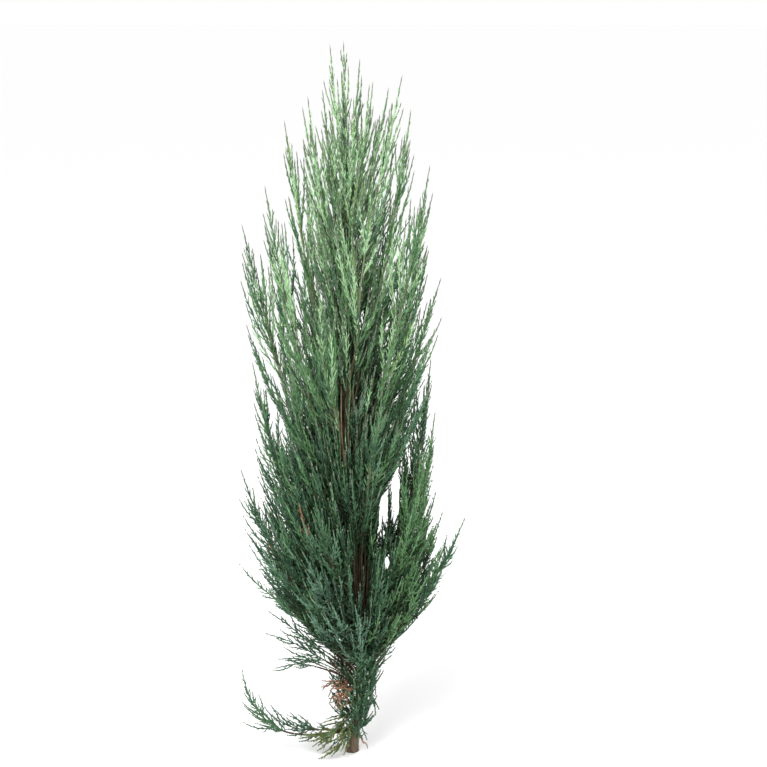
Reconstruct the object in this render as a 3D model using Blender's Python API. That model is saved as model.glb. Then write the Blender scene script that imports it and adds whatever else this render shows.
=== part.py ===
"""A young rocky mountain juniper, about a metre tall, cut off flat at ground level.

The trunk runs up through the crown. Boughs rise steeply from it, and each ends where it enters its
own plume: a mass of twigs and sprays that grows by a seeded rule from one stem. A few plumes grow
straight from the trunk. Every plume keeps to its own space, the points that lie nearer to its stem
than to any other plume's stem, and a twig or spray that would leave it or touch a limb is skipped.

Frame: metres, +Z up, origin at the centre of the trunk's flat foot, +X right, +Y to the back.
"""

import math
import random
from typing import NamedTuple

import bmesh
import bpy
import numpy as np
from mathutils import Matrix, Quaternion, Vector

TREE_NAME = "rocky_mountain_juniper"
TREE_HEIGHT = 1.015
SEED = 7

# Trunk: taper, root flare, sway and lean
TRUNK_TOP = 0.930
TRUNK_RADIUS = 0.0078
TRUNK_TIP_RADIUS = 0.0014
TRUNK_TAPER = 0.85
FLARE_RADIUS = 0.0030
FLARE_HEIGHT = 0.016
FLAT_FOOT = 0.003  # the first stretch stands upright, so that the cut is level
SWAY_RIGHT = 0.022
SWAY_RIGHT_WAVE = 0.40
SWAY_RIGHT_FADE = 0.35
SWAY_BACK = 0.004
SWAY_BACK_WAVE = 0.33
LEAN = -0.006
TRUNK_STEP = 0.035
TRUNK_BEVEL_RESOLUTION = 3

# Clearances
JOINT_GAP = 0.0003
SPACE_GAP = 0.0005
LIMB_GAP = 0.0007
GROUND_GAP = 0.0010
TIP_SLACK = 0.003  # how far a plume's sprays may pass its tip
LEAST_REACH = 0.024  # how far out the leader's own sprays may stand
NEIGHBOURHOOD = 0.12  # stems and limbs further from a plume than this can't meet it

# Limbs
LIMB_TIP_RADIUS = 0.0007
BOUGH_STEP = 0.030
STEM_STEP = 0.038
COLLAR = 0.004  # a straight stretch on either side of the joint between bough and plume
AXIS_STEP = 0.004
CURVE_SAMPLES = 200
WELD_DISTANCE = 0.000005
WAVER = 0.0025
WAVER_TURNS = 1.6
BOUGH_BEVEL_RESOLUTION = 1
STEM_BEVEL_RESOLUTION = 1

# Shoots of a plume: twigs with a few sprays, and single sprays, by turns up the stem
SHOOTS = 9
FIRST_SHOOT = 0.02  # share of the stem below the first shoot
LAST_SHOOT = 0.82
SHOOT_TRIES = 10
TRY_SHRINK = 0.93
TWIG_SIDES = 3
TWIG_RADIUS = 0.0012
TWIG_TIP_RADIUS = 0.0005
TWIG_ANGLE = math.radians(27)
TWIG_SHARE_OF_STEM = 0.8  # a twig's thickness, at most
TWIG_LEAST_LENGTH = 0.012
TWIG_STRETCH = 1.25  # how far a twig with its end spray passes the plume's half width
SPRAY_OVERHANG = 0.75  # share of the end spray that counts in that
TWIG_SPRAYS = 2
TWIG_FIRST_SPRAY = 0.006
STEM_SPRAY_ANGLE = math.radians(23)
SPRAY_ANGLE = math.radians(21)
SPRAY_LENGTH = 0.098
SPRAY_WIDTH = 0.0160
SPRAY_THICKNESS = 0.0052
SPRAY_WIDEST = 0.42  # share of the length from the root
SPRAY_SINK = 0.0026
SPRAY_SPACING = 0.034
SIDE_SPRAY_SCALE = 0.85
LEAST_SPRAY_SCALE = 0.3
SIZE_RANGE = (0.85, 1.10)
FULL_SPREAD = 0.036  # half width of a plume whose sprays have their full size
TIP_SPRAY_LENGTH = 0.060
TIP_SPRAY_WIDTH = 0.0064
GOLDEN_ANGLE = math.radians(137.508)
EDGE_SAMPLES = 12

# Core of a dense plume, a spindle of packed foliage round its stem
CORE_RADIUS = 0.0075
CORE_SHARE_OF_SPACE = 0.36
CORE_TOP = 0.86  # share of the stem
CORE_BALANCE = 0.7  # below 1 the core is thickest in its lower half
CORE_HIGHEST_TIP = 0.90  # plumes that end above this height are open, with no core

# The gap that shows sky between the crown and the right-hand bough
WINDOW_CENTRE = (0.056, 0.425)
WINDOW_HALF_SIZE = (0.013, 0.095)

# Crown outline, from which the front and back limbs take their reach
CROWN_RADIUS = 0.134
CROWN_MIDDLE = 0.45
CROWN_HALF_HEIGHT = 0.57

# Limbs of the front and back, each value from the lowest limb's to the highest limb's
RING_COUNT = 9
RING_TOP = (0.36, 0.93)
RING_FOOT = (0.155, 0.590)
RING_RADIUS = (0.0030, 0.0020)
RING_SPREAD = (0.038, 0.026)
RING_BARE = 0.22
RING_BOW = 0.60
RING_LIFT = 0.34
RING_FAN = 20.0  # degrees off straight back or front

LEFT, BACK, RIGHT, FRONT = 180.0, 90.0, 0.0, 270.0

SHARP_ANGLE = math.radians(50)
BARK_COLOUR = (0.150, 0.092, 0.062, 1.0)
TWIG_BARK_COLOUR = (0.190, 0.105, 0.060, 1.0)
FOLIAGE_COLOUR = (0.105, 0.190, 0.115, 1.0)
BARK_ROUGHNESS = 0.88
FOLIAGE_ROUGHNESS = 0.7


class Limb(NamedTuple):
    """A bough with its plume at the end, or a plume on the trunk where bare is 0."""

    name: str
    azimuth: float  # degrees
    foot: float  # height on the trunk
    reach: float  # of the tip, out from the tree's axis
    top: float  # height of the tip
    radius: float  # at the foot
    bare: float  # share of the limb that is bough
    spread: float  # half width of the plume
    bow: float  # how far out the limb's control point lies, as a share
    lift: float  # and how far up


NAMED_LIMBS = (
    Limb("left_ground", LEFT + 9, 0.034, 0.158, 0.139, 0.0020, 0.40, 0.021, 0.90, -0.30),
    Limb("left_spray", LEFT - 10, 0.090, 0.114, 0.120, 0.0016, 0.42, 0.026, 0.42, 1.90),
    Limb("left_tuft", LEFT + 18, 0.100, 0.127, 0.200, 0.0022, 0.26, 0.029, 0.52, 0.72),
    Limb("left_low", LEFT - 17, 0.114, 0.156, 0.302, 0.0027, 0.22, 0.034, 0.60, 0.42),
    Limb("left_under", LEFT + 20, 0.130, 0.158, 0.446, 0.0030, 0.22, 0.037, 0.66, 0.36),
    Limb("left_main", LEFT + 2, 0.150, 0.134, 0.585, 0.0044, 0.26, 0.040, 0.64, 0.26),
    Limb("left_long", LEFT - 14, 0.235, 0.153, 0.770, 0.0034, 0.28, 0.037, 0.50, 0.32),
    Limb("left_upper", LEFT + 16, 0.370, 0.115, 0.830, 0.0027, 0.22, 0.033, 0.60, 0.34),
    Limb("left_high", LEFT - 8, 0.470, 0.087, 0.912, 0.0022, 0.18, 0.028, 0.58, 0.36),
    Limb("left_crest", LEFT + 24, 0.640, 0.058, 0.945, 0.0016, 0, 0.022, 0.60, 0.40),
    Limb("leader", LEFT, TRUNK_TOP, -LEAN, TREE_HEIGHT, 0.0014, 0, 0.016, 0.50, 0.50),
    Limb("right_tip", BACK - 40, 0.735, 0.050, 0.962, 0.0014, 0, 0.017, 0.60, 0.40),
    Limb("right_crest", RIGHT - 14, 0.660, 0.073, 0.972, 0.0017, 0, 0.020, 0.52, 0.40),
    Limb("right_high", RIGHT + 12, 0.520, 0.085, 0.926, 0.0021, 0.18, 0.026, 0.60, 0.36),
    Limb("right_upper", RIGHT - 20, 0.425, 0.114, 0.857, 0.0025, 0.20, 0.032, 0.60, 0.34),
    Limb("right_mid", RIGHT + 20, 0.345, 0.110, 0.780, 0.0026, 0.22, 0.032, 0.58, 0.34),
    Limb("right_long", RIGHT - 6, 0.300, 0.125, 0.704, 0.0028, 0.26, 0.029, 0.44, 0.46),
    Limb("right_main", RIGHT + 3, 0.138, 0.112, 0.588, 0.0040, 0.28, 0.029, 0.66, 0.28),
    Limb("right_under", RIGHT - 16, 0.122, 0.165, 0.373, 0.0026, 0.26, 0.030, 0.60, 0.40),
    Limb("right_twigs", RIGHT + 10, 0.100, 0.083, 0.200, 0.0016, 0.44, 0.024, 0.56, 0.50),
    Limb("foot_tuft", FRONT + 34, 0.030, 0.048, 0.130, 0.0016, 0, 0.024, 0.66, 0.40),
    Limb("front_feather", FRONT - 36, 0.118, 0.104, 0.312, 0.0021, 0.18, 0.024, 0.45, 0.45),
)


class Path(NamedTuple):
    """Points along a limb's axis, a few millimetres apart, and the distance along it to each."""

    points: np.ndarray
    along: np.ndarray

    def at(self, distance):
        columns = [np.interp(distance, self.along, self.points[:, axis]) for axis in range(3)]
        return Vector(columns)

    def direction(self, distance):
        ahead = self.at(min(distance + AXIS_STEP, self.length))
        behind = self.at(max(distance - AXIS_STEP, 0.0))
        return (ahead - behind).normalized()

    @property
    def length(self):
        return float(self.along[-1])


class Plume(NamedTuple):
    """Where a plume's stem runs: from start along its limb's path to the path's end."""

    limb: Limb
    path: Path
    start: float


class Surroundings(NamedTuple):
    """What a plume's twigs keep to: its reach, other plumes' stems, and limbs with their radii."""

    reach: float
    top: float
    own_stem: np.ndarray
    other_stems: np.ndarray
    limbs: np.ndarray
    limb_radii: np.ndarray


def trunk_centre(height):
    """The trunk's axis: upright at the cut, then a sway that fades upwards, and a slight lean."""
    rise = max(height - FLAT_FOOT, 0.0)
    fade = math.exp(-((rise / SWAY_RIGHT_FADE) ** 2))
    right = SWAY_RIGHT * math.sin(math.pi * rise / SWAY_RIGHT_WAVE) * fade
    back = SWAY_BACK * math.sin(math.pi * rise / SWAY_BACK_WAVE)
    return Vector((right + LEAN * rise / TREE_HEIGHT, back, height))


def trunk_radius(height):
    taper = max(1.0 - height / TRUNK_TOP, 0.0) ** TRUNK_TAPER
    flare = FLARE_RADIUS * math.exp(-height / FLARE_HEIGHT)
    return TRUNK_TIP_RADIUS + (TRUNK_RADIUS - TRUNK_TIP_RADIUS) * taper + flare


def trunk_heights():
    """Heights of the trunk's rings, closer together up the root flare."""
    count = round(TRUNK_TOP / TRUNK_STEP)
    flare_rings = [0.0, FLAT_FOOT, FLARE_HEIGHT * 0.6, FLARE_HEIGHT * 1.3]
    return flare_rings + [TRUNK_TOP * number / count for number in range(1, count + 1)]


def crown_reach(height):
    share = (height - CROWN_MIDDLE) / CROWN_HALF_HEIGHT
    return CROWN_RADIUS * math.sqrt(max(1.0 - share * share, 0.0))


def between(ends, share):
    return ends[0] + (ends[1] - ends[0]) * share


def ring_limbs():
    """Limbs that fill the crown's back and front by turns, from the lowest to the highest."""
    limbs = []
    for number in range(RING_COUNT):
        share = number / (RING_COUNT - 1)
        name, azimuth = ("front", FRONT) if number % 2 else ("back", BACK)
        limbs.append(
            Limb(
                name=f"{name}_{number + 1}",
                azimuth=azimuth + (RING_FAN if number % 4 in (0, 3) else -RING_FAN),
                foot=between(RING_FOOT, share),
                reach=crown_reach(between(RING_TOP, share)),
                top=between(RING_TOP, share),
                radius=between(RING_RADIUS, share),
                bare=RING_BARE,
                spread=between(RING_SPREAD, share),
                bow=RING_BOW,
                lift=RING_LIFT,
            )
        )
    return limbs


def limb_path(limb):
    """A quadratic curve from the trunk's axis to the limb's tip, with a slight waver."""
    foot = trunk_centre(limb.foot)
    azimuth = math.radians(limb.azimuth)
    tip = Vector((limb.reach * math.cos(azimuth), limb.reach * math.sin(azimuth), limb.top))
    middle = foot.lerp(tip, limb.bow)
    middle.z = limb.foot + limb.lift * (limb.top - limb.foot)
    share = np.linspace(0.0, 1.0, CURVE_SAMPLES)[:, None]
    points = (1 - share) ** 2 * np.array(foot) + 2 * share * (1 - share) * np.array(middle)
    points = points + share**2 * np.array(tip)
    sideways = np.array((-math.sin(azimuth), math.cos(azimuth), 0.0))
    turns = 2 * math.pi * WAVER_TURNS * share + azimuth
    points = points + sideways * WAVER * np.sin(turns) * np.sin(math.pi * share)
    steps = np.linalg.norm(np.diff(points, axis=0), axis=1)
    along = np.concatenate(([0.0], np.cumsum(steps)))
    even = np.linspace(0.0, along[-1], int(along[-1] / AXIS_STEP))
    spaced = np.stack([np.interp(even, along, points[:, axis]) for axis in range(3)], axis=1)
    return Path(spaced, even)


def stem_start(limb, path):
    """Where a plume's stem begins: past its bough's end or the trunk's tip, or at the trunk's axis."""
    on_side_of_trunk = limb.bare == 0 and limb.foot < TRUNK_TOP
    return 0.0 if on_side_of_trunk else limb.bare * path.length + JOINT_GAP


def limb_radius(limb, path, distance):
    left = 1.0 - distance / path.length
    return LIMB_TIP_RADIUS + (limb.radius - LIMB_TIP_RADIUS) * left


def tube_mesh(name, points, radii, bevel_resolution):
    """The closed mesh of a round curve through the points, with its caps welded on."""
    curve = bpy.data.curves.new(name, "CURVE")
    curve.dimensions = "3D"
    curve.bevel_depth = 1.0
    curve.bevel_resolution = bevel_resolution
    curve.use_fill_caps = True
    spline = curve.splines.new("POLY")
    spline.points.add(len(points) - 1)
    for knot, point, radius in zip(spline.points, points, radii):
        knot.co = (*point, 1.0)
        knot.radius = radius
    holder = bpy.data.objects.new(name, curve)
    bpy.context.scene.collection.objects.link(holder)
    graph = bpy.context.evaluated_depsgraph_get()
    mesh = bpy.data.meshes.new_from_object(holder.evaluated_get(graph))
    bpy.data.objects.remove(holder)
    bpy.data.curves.remove(curve)
    welded = bmesh.new()
    welded.from_mesh(mesh)
    bmesh.ops.remove_doubles(welded, verts=welded.verts, dist=WELD_DISTANCE)
    bmesh.ops.recalc_face_normals(welded, faces=welded.faces)
    welded.to_mesh(mesh)
    welded.free()
    return mesh


def even_distances(start, end, step):
    count = max(round((end - start) / step), 1)
    return [start + (end - start) * number / count for number in range(count + 1)]


def bough_mesh(limb, path, end):
    distances = even_distances(0.0, end - COLLAR, BOUGH_STEP) + [end]
    points = [path.at(distance) for distance in distances]
    radii = [limb_radius(limb, path, distance) for distance in distances]
    return tube_mesh(limb.name, points, radii, BOUGH_BEVEL_RESOLUTION)


def core_radius(plume, surroundings, distance, end):
    """How far the packed foliage stands off the stem, within the plume's own space."""
    share = (distance - plume.start) / (end - plume.start) / CORE_TOP
    if plume.limb.top > CORE_HIGHEST_TIP or not 0.0 < share < 1.0:
        return 0.0
    point = np.array(plume.path.at(distance))[None, :]
    space = least_distance(point, surroundings.other_stems).min() * CORE_SHARE_OF_SPACE
    gaps = np.linalg.norm(surroundings.limbs - point, axis=1) - surroundings.limb_radii
    space = min(space, gaps.min() * 2 * CORE_SHARE_OF_SPACE)
    return min(CORE_RADIUS, space) * math.sin(math.pi * share**CORE_BALANCE)


def stem_mesh(plume, surroundings, end):
    distances = [plume.start] + even_distances(plume.start + COLLAR, end, STEM_STEP)
    points = [plume.path.at(distance) for distance in distances]
    radii = [max(limb_radius(plume.limb, plume.path, distance),
                 core_radius(plume, surroundings, distance, end)) for distance in distances]
    return tube_mesh(plume.limb.name, points, radii, STEM_BEVEL_RESOLUTION)


def leaned(direction, angle, spin):
    """The direction leaned over by an angle, to the side that the spin picks."""
    side = direction.orthogonal().normalized()
    side.rotate(Quaternion(direction, spin))
    return (direction * math.cos(angle) + side * math.sin(angle)).normalized()


def placement(root, direction, side):
    """A matrix that stands a solid on its root, its length along direction, its width to the side."""
    normal = direction.cross(side).normalized()
    across = normal.cross(direction).normalized()
    return Matrix.Translation(root) @ Matrix((across, normal, direction)).transposed().to_4x4()


def twig_solid(root, direction, length, radius):
    solid = bmesh.new()
    bmesh.ops.create_cone(
        solid,
        cap_ends=True,
        segments=TWIG_SIDES,
        radius1=radius,
        radius2=TWIG_TIP_RADIUS,
        depth=length,
        matrix=placement(root, direction, direction.orthogonal())
        @ Matrix.Translation((0.0, 0.0, length / 2)),
    )
    return solid


def spray_solid(root, direction, side, length, width, thickness):
    """A flat spray of eight faces, widest near its root and pointed at both ends."""
    solid = bmesh.new()
    bmesh.ops.create_uvsphere(solid, u_segments=4, v_segments=2, radius=0.5)
    for corner in solid.verts:
        at_middle = abs(corner.co.z) < 0.25
        height = SPRAY_WIDEST if at_middle else corner.co.z + 0.5
        corner.co = (corner.co.x * width, corner.co.y * thickness, height * length)
    solid.transform(placement(root - direction * SPRAY_SINK, direction, side))
    return solid


def edge_points(solid):
    shares = np.linspace(0.0, 1.0, EDGE_SAMPLES)[:, None]
    lines = [np.array(edge.verts[0].co) * (1 - shares) + np.array(edge.verts[1].co) * shares
             for edge in solid.edges]
    return np.concatenate(lines)


def least_distance(points, sites):
    gaps = np.linalg.norm(points[:, None, :] - sites[None, :, :], axis=2)
    return gaps.min(axis=1)


def fits(solid, surroundings):
    """Whether the solid stays in its plume's reach and space, above ground, and off limbs."""
    points = edge_points(solid)
    outward = np.hypot(points[:, 0], points[:, 1])
    if outward.max() > surroundings.reach or points[:, 2].max() > surroundings.top:
        return False
    own = least_distance(points, surroundings.own_stem)
    other = least_distance(points, surroundings.other_stems)
    if np.any(other - own < 2 * SPACE_GAP) or points[:, 2].min() < GROUND_GAP:
        return False
    gaps = np.linalg.norm(points[:, None, :] - surroundings.limbs[None, :, :], axis=2)
    if np.any(gaps < surroundings.limb_radii[None, :] + LIMB_GAP):
        return False
    across = (points[:, 0] - WINDOW_CENTRE[0]) / WINDOW_HALF_SIZE[0]
    up = (points[:, 2] - WINDOW_CENTRE[1]) / WINDOW_HALF_SIZE[1]
    return not np.any(across**2 + up**2 < 1.0)


def sized_spray(root, direction, side, scale):
    """A spray of a share of the full length, which narrows and thins more slowly than it shortens."""
    return spray_solid(root, direction, side, SPRAY_LENGTH * scale, SPRAY_WIDTH * scale**0.7,
                       SPRAY_THICKNESS * scale**0.5)


def spray_share(limb):
    """The size of the limb's sprays, as a share of the full size."""
    return math.sqrt(limb.spread / FULL_SPREAD)


def tip_spray(path):
    """The slim shoot that ends the stem at the limb's tip."""
    root = path.at(path.length - TIP_SPRAY_LENGTH)
    direction = (path.at(path.length) - root).normalized()
    return spray_solid(root + direction * SPRAY_SINK, direction, direction.orthogonal(),
                       TIP_SPRAY_LENGTH, TIP_SPRAY_WIDTH, SPRAY_THICKNESS)


def plume_solids(plume, surroundings, chance):
    """The plume's twigs and sprays, each a closed solid rooted in the stem or in its twig."""
    path = plume.path
    solids = [tip_spray(path)]
    spin = chance.uniform(0, 2 * math.pi)
    for number in range(SHOOTS):
        share = FIRST_SHOOT + (LAST_SHOOT - FIRST_SHOOT) * number / (SHOOTS - 1)
        distance = plume.start + share * (path.length - plume.start)
        room = path.length - distance
        grow = twig_with_sprays if number % 2 == 0 and number < SHOOTS - 1 else stem_spray
        for attempt in range(SHOOT_TRIES):
            spin += GOLDEN_ANGLE
            scale = TRY_SHRINK**attempt * chance.uniform(*SIZE_RANGE)
            grown = grow(plume, distance, room, spin, scale, surroundings)
            if grown:
                solids += grown
                break
    return solids


def stem_spray(plume, distance, room, spin, scale, surroundings):
    """One spray on the stem, leaning out from it, where it fits."""
    stem_direction = plume.path.direction(distance)
    scale = min(scale * spray_share(plume.limb), room / SPRAY_LENGTH)
    direction = leaned(stem_direction, STEM_SPRAY_ANGLE, spin)
    side = stem_direction.cross(direction).normalized()
    spray = sized_spray(plume.path.at(distance), direction, side, scale)
    return [spray] if fits(spray, surroundings) else []


def twig_with_sprays(plume, distance, room, spin, scale, surroundings):
    """A twig with sprays on either side and one at its end, or nothing where it doesn't fit."""
    stem_direction = plume.path.direction(distance)
    direction = leaned(stem_direction, TWIG_ANGLE, spin)
    root = plume.path.at(distance)
    side = stem_direction.cross(direction).normalized()
    spray_scale = scale * spray_share(plume.limb)
    reach = min(plume.limb.spread / math.sin(TWIG_ANGLE) * scale * TWIG_STRETCH, room)
    length = max(reach - SPRAY_OVERHANG * SPRAY_LENGTH * spray_scale, TWIG_LEAST_LENGTH)
    radius = min(TWIG_RADIUS, TWIG_SHARE_OF_STEM * limb_radius(plume.limb, plume.path, distance))
    twig = twig_solid(root, direction, length, radius)
    if not fits(twig, surroundings):
        return []
    solids = [twig]
    end_scale = min(spray_scale, (room - length) / SPRAY_LENGTH)
    if end_scale > LEAST_SPRAY_SCALE:
        end_spray = sized_spray(root + direction * (length - SPRAY_SINK), direction, side, end_scale)
        if fits(end_spray, surroundings):
            solids.append(end_spray)
    for number in range(min(int(length / SPRAY_SPACING) + 1, TWIG_SPRAYS)):
        root_on_twig = root + direction * (TWIG_FIRST_SPRAY + SPRAY_SPACING * number)
        turn = Quaternion(direction.cross(side), SPRAY_ANGLE * (1.0 if number % 2 else -1.0))
        spray_direction = direction.copy()
        spray_direction.rotate(turn)
        across = side.copy()
        across.rotate(turn)
        spray = sized_spray(root_on_twig, spray_direction, across, SIDE_SPRAY_SCALE * spray_scale)
        if fits(spray, surroundings):
            solids.append(spray)
    return solids if len(solids) > 1 else []


def give_material(piece, colour, roughness):
    material = bpy.data.materials.new(piece.name)
    material.use_nodes = True
    shader = material.node_tree.nodes["Principled BSDF"]
    shader.inputs["Base Color"].default_value = colour
    shader.inputs["Roughness"].default_value = roughness
    shader.inputs["Metallic"].default_value = 0.0
    piece.data.materials.clear()
    piece.data.materials.append(material)


def add_piece(name, mesh, collection):
    mesh.name = name
    piece = bpy.data.objects.new(name, mesh)
    collection.objects.link(piece)
    return piece


def add_carve(piece, cutter):
    """Cuts the piece's foot to the trunk, which it then meets with the joint's gap."""
    carve = piece.modifiers.new("seat on trunk", "BOOLEAN")
    carve.operation = "DIFFERENCE"
    carve.solver = "EXACT"
    carve.object = cutter


def keep_main_body(mesh):
    """Drops loose scraps, and fills sealed hollows by dropping the shells round them."""
    body = bmesh.new()
    body.from_mesh(mesh)
    left = set(body.verts)
    groups = []
    while left:
        group = []
        front = [left.pop()]
        while front:
            corner = front.pop()
            group.append(corner)
            for edge in corner.link_edges:
                other = edge.other_vert(corner)
                if other in left:
                    left.remove(other)
                    front.append(other)
        groups.append(group)
    groups.sort(key=len)
    scraps = [corner for group in groups[:-1] for corner in group]
    bmesh.ops.delete(body, geom=scraps, context="VERTS")
    body.to_mesh(mesh)
    body.free()


def fuse(stem, solids):
    """Joins the solids to the stem in one Boolean union, and leaves the stem as the one body."""
    fused = bpy.data.collections.new(stem.name + " twigs")
    bpy.context.scene.collection.children.link(fused)
    for number, solid in enumerate(solids):
        mesh = bpy.data.meshes.new(f"twig {number}")
        solid.to_mesh(mesh)
        solid.free()
        fused.objects.link(bpy.data.objects.new(mesh.name, mesh))
    union = stem.modifiers.new("fuse twigs", "BOOLEAN")
    union.operation = "UNION"
    union.solver = "EXACT"
    union.operand_type = "COLLECTION"
    union.collection = fused
    graph = bpy.context.evaluated_depsgraph_get()
    joined = bpy.data.meshes.new_from_object(stem.evaluated_get(graph))
    keep_main_body(joined)
    stem.modifiers.clear()
    stem.data = joined
    for twig in list(fused.objects):
        bpy.data.objects.remove(twig)
    bpy.data.collections.remove(fused)


def make_trunk(tree, cutters):
    points = [trunk_centre(height) for height in trunk_heights()]
    radii = [trunk_radius(height) for height in trunk_heights()]
    trunk = add_piece("trunk", tube_mesh("trunk", points, radii, TRUNK_BEVEL_RESOLUTION), tree)
    trunk.data.shade_smooth()
    trunk.data.set_sharp_from_angle(angle=SHARP_ANGLE)
    give_material(trunk, BARK_COLOUR, BARK_ROUGHNESS)
    wider = [radius + JOINT_GAP for radius in radii]
    top = points[-1] + (points[-1] - points[-2]).normalized() * JOINT_GAP
    clearance = tube_mesh("clearance", points[:-1] + [top], wider, TRUNK_BEVEL_RESOLUTION)
    cutter = add_piece("trunk_clearance", clearance, cutters)
    cutter.hide_render = True
    cutter.display_type = "WIRE"
    return cutter


def make_bough(limb, path, end, tree, cutter):
    bough = add_piece("bough_" + limb.name, bough_mesh(limb, path, end), tree)
    bough.data.shade_smooth()
    bough.data.set_sharp_from_angle(angle=SHARP_ANGLE)
    add_carve(bough, cutter)
    give_material(bough, TWIG_BARK_COLOUR, BARK_ROUGHNESS)


def make_plume(plume, surroundings, tree, cutter):
    end = plume.path.length - TIP_SPRAY_LENGTH + 2 * SPRAY_SINK
    stem = add_piece("plume_" + plume.limb.name, stem_mesh(plume, surroundings, end), tree)
    if plume.start == 0.0:
        add_carve(stem, cutter)
    chance = random.Random(f"{SEED} {plume.limb.name}")
    fuse(stem, plume_solids(plume, surroundings, chance))
    give_material(stem, FOLIAGE_COLOUR, FOLIAGE_ROUGHNESS)


def stretch(path, start, end):
    inside = (path.along >= start) & (path.along <= end)
    return path.points[inside]


def limb_sites(limbs, paths, plumes):
    """Points down the trunk's and the boughs' axes, and the limb's radius at each."""
    heights = np.arange(0.0, TRUNK_TOP, AXIS_STEP)
    points = [np.array([trunk_centre(height) for height in heights])]
    radii = [np.array([trunk_radius(height) for height in heights])]
    for limb, path, plume in zip(limbs, paths, plumes):
        if limb.bare > 0:
            bough = stretch(path, 0.0, plume.start)
            points.append(bough)
            radii.append(np.array([limb_radius(limb, path, distance)
                                   for distance in path.along[: len(bough)]]))
    return np.concatenate(points), np.concatenate(radii)


def surroundings_of(number, limb, stems, limb_points, limb_radii):
    own = stems[number]
    others = np.concatenate([stem for other, stem in enumerate(stems) if other != number])
    low, high = own.min(axis=0) - NEIGHBOURHOOD, own.max(axis=0) + NEIGHBOURHOOD
    near_stems = np.all((others > low) & (others < high), axis=1)
    near_limbs = np.all((limb_points > low) & (limb_points < high), axis=1)
    reach = max(limb.reach, LEAST_REACH) + TIP_SLACK
    return Surroundings(reach, limb.top + TIP_SLACK, own, others[near_stems],
                        limb_points[near_limbs], limb_radii[near_limbs])


def new_collection(name):
    collection = bpy.data.collections.new(name)
    bpy.context.scene.collection.children.link(collection)
    return collection


def main():
    for leftover in list(bpy.data.objects):
        bpy.data.objects.remove(leftover)
    tree = new_collection(TREE_NAME)
    cutters = new_collection("cutters")
    cutter = make_trunk(tree, cutters)
    limbs = list(NAMED_LIMBS) + ring_limbs()
    paths = [limb_path(limb) for limb in limbs]
    plumes = []
    for limb, path in zip(limbs, paths):
        plumes.append(Plume(limb, path, stem_start(limb, path)))
        if limb.bare > 0:
            make_bough(limb, path, limb.bare * path.length, tree, cutter)
    stems = [stretch(plume.path, plume.start, plume.path.length) for plume in plumes]
    limb_points, limb_radii = limb_sites(limbs, paths, plumes)
    for number, plume in enumerate(plumes):
        surroundings = surroundings_of(number, plume.limb, stems, limb_points, limb_radii)
        make_plume(plume, surroundings, tree, cutter)


main()
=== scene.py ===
"""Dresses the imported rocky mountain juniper: bark on its limbs, and fine foliage grown on from them.

The trunk and the boughs get skins with the relief of peeling bark. Each plume's mass is replaced by
what grows on a juniper's stem: leaders, twigs on the leaders and branchlets on the twigs, every
order by the same seeded rule, and each clothed in a leafy cord. A named plume keeps to its own
space, the points that lie nearer to its stem than to any other named plume's, and fine limbs share
what is left. A shoot that would leave its room or touch a limb is tried again, and then skipped.

Frame: metres, +Z up, origin at the centre of the trunk's flat foot, +X right, +Y to the back.
"""

import logging
import math
from dataclasses import dataclass, replace
from enum import Enum

import bpy
import numpy as np
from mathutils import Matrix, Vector


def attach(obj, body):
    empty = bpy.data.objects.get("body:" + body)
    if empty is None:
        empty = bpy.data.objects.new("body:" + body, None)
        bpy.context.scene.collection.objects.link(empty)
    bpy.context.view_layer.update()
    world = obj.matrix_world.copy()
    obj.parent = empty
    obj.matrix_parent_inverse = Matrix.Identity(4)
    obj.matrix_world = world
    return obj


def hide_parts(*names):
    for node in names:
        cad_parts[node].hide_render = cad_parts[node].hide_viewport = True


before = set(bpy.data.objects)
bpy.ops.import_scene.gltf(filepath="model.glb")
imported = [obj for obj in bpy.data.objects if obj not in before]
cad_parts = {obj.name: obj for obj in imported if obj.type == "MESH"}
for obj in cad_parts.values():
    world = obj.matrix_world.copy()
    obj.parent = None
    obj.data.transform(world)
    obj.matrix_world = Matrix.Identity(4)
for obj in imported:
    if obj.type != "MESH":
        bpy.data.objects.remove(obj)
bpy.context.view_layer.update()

Pair = tuple[float, float]
Triple = tuple[float, float, float]
BODY = "root"
SEED = 11
UP = np.array((0.0, 0.0, 1.0))
GOLDEN_ANGLE = math.radians(137.508)
GOLDEN_SHARE = 0.618
PIECE_LIMIT = 190_000  # triangles a piece may have
CHUNK = 6000  # points tested against the stems at a time
LEFT, BACK, RIGHT, FRONT = 180.0, 90.0, 0.0, 270.0  # degrees round the tree
ALL_ROUND = 180.0  # degrees to either side
LEAST_LENGTH = 1e-12  # that a vector's length is taken as
LEAST_RADIUS = 1e-6  # metres from the tree's axis

log = logging.getLogger("juniper")


# ---------------------------------------------------------------- finishes


class Tone(Enum):
    """The kinds of foliage, each dealt out to whole sprays."""

    GLAUCOUS = "glaucous"
    TEAL = "teal"
    BLUE_GREEN = "blue_green"
    MID_GREEN = "mid_green"
    LIGHT_GREEN = "light_green"
    YELLOW_GREEN = "yellow_green"
    # Painted shade: the dark green that foliage deep inside the crown and in pockets is given.
    SHADED = "shaded_green"
    TIP = "tip"
    DEAD = "dead"
    OLIVE = "olive"


def fill_inputs(tree: bpy.types.NodeTree, node: bpy.types.Node, inputs: dict[str, object]) -> None:
    """Gives a node's inputs their values, or links them where another node's output is given.

    Args:
        tree: The nodes.
        node: The node.
        inputs: A value or another node's output by the input's name.
    """
    for name, given in inputs.items():
        if isinstance(given, bpy.types.NodeSocket):
            tree.links.new(given, node.inputs[name])
        else:
            node.inputs[name].default_value = given


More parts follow.
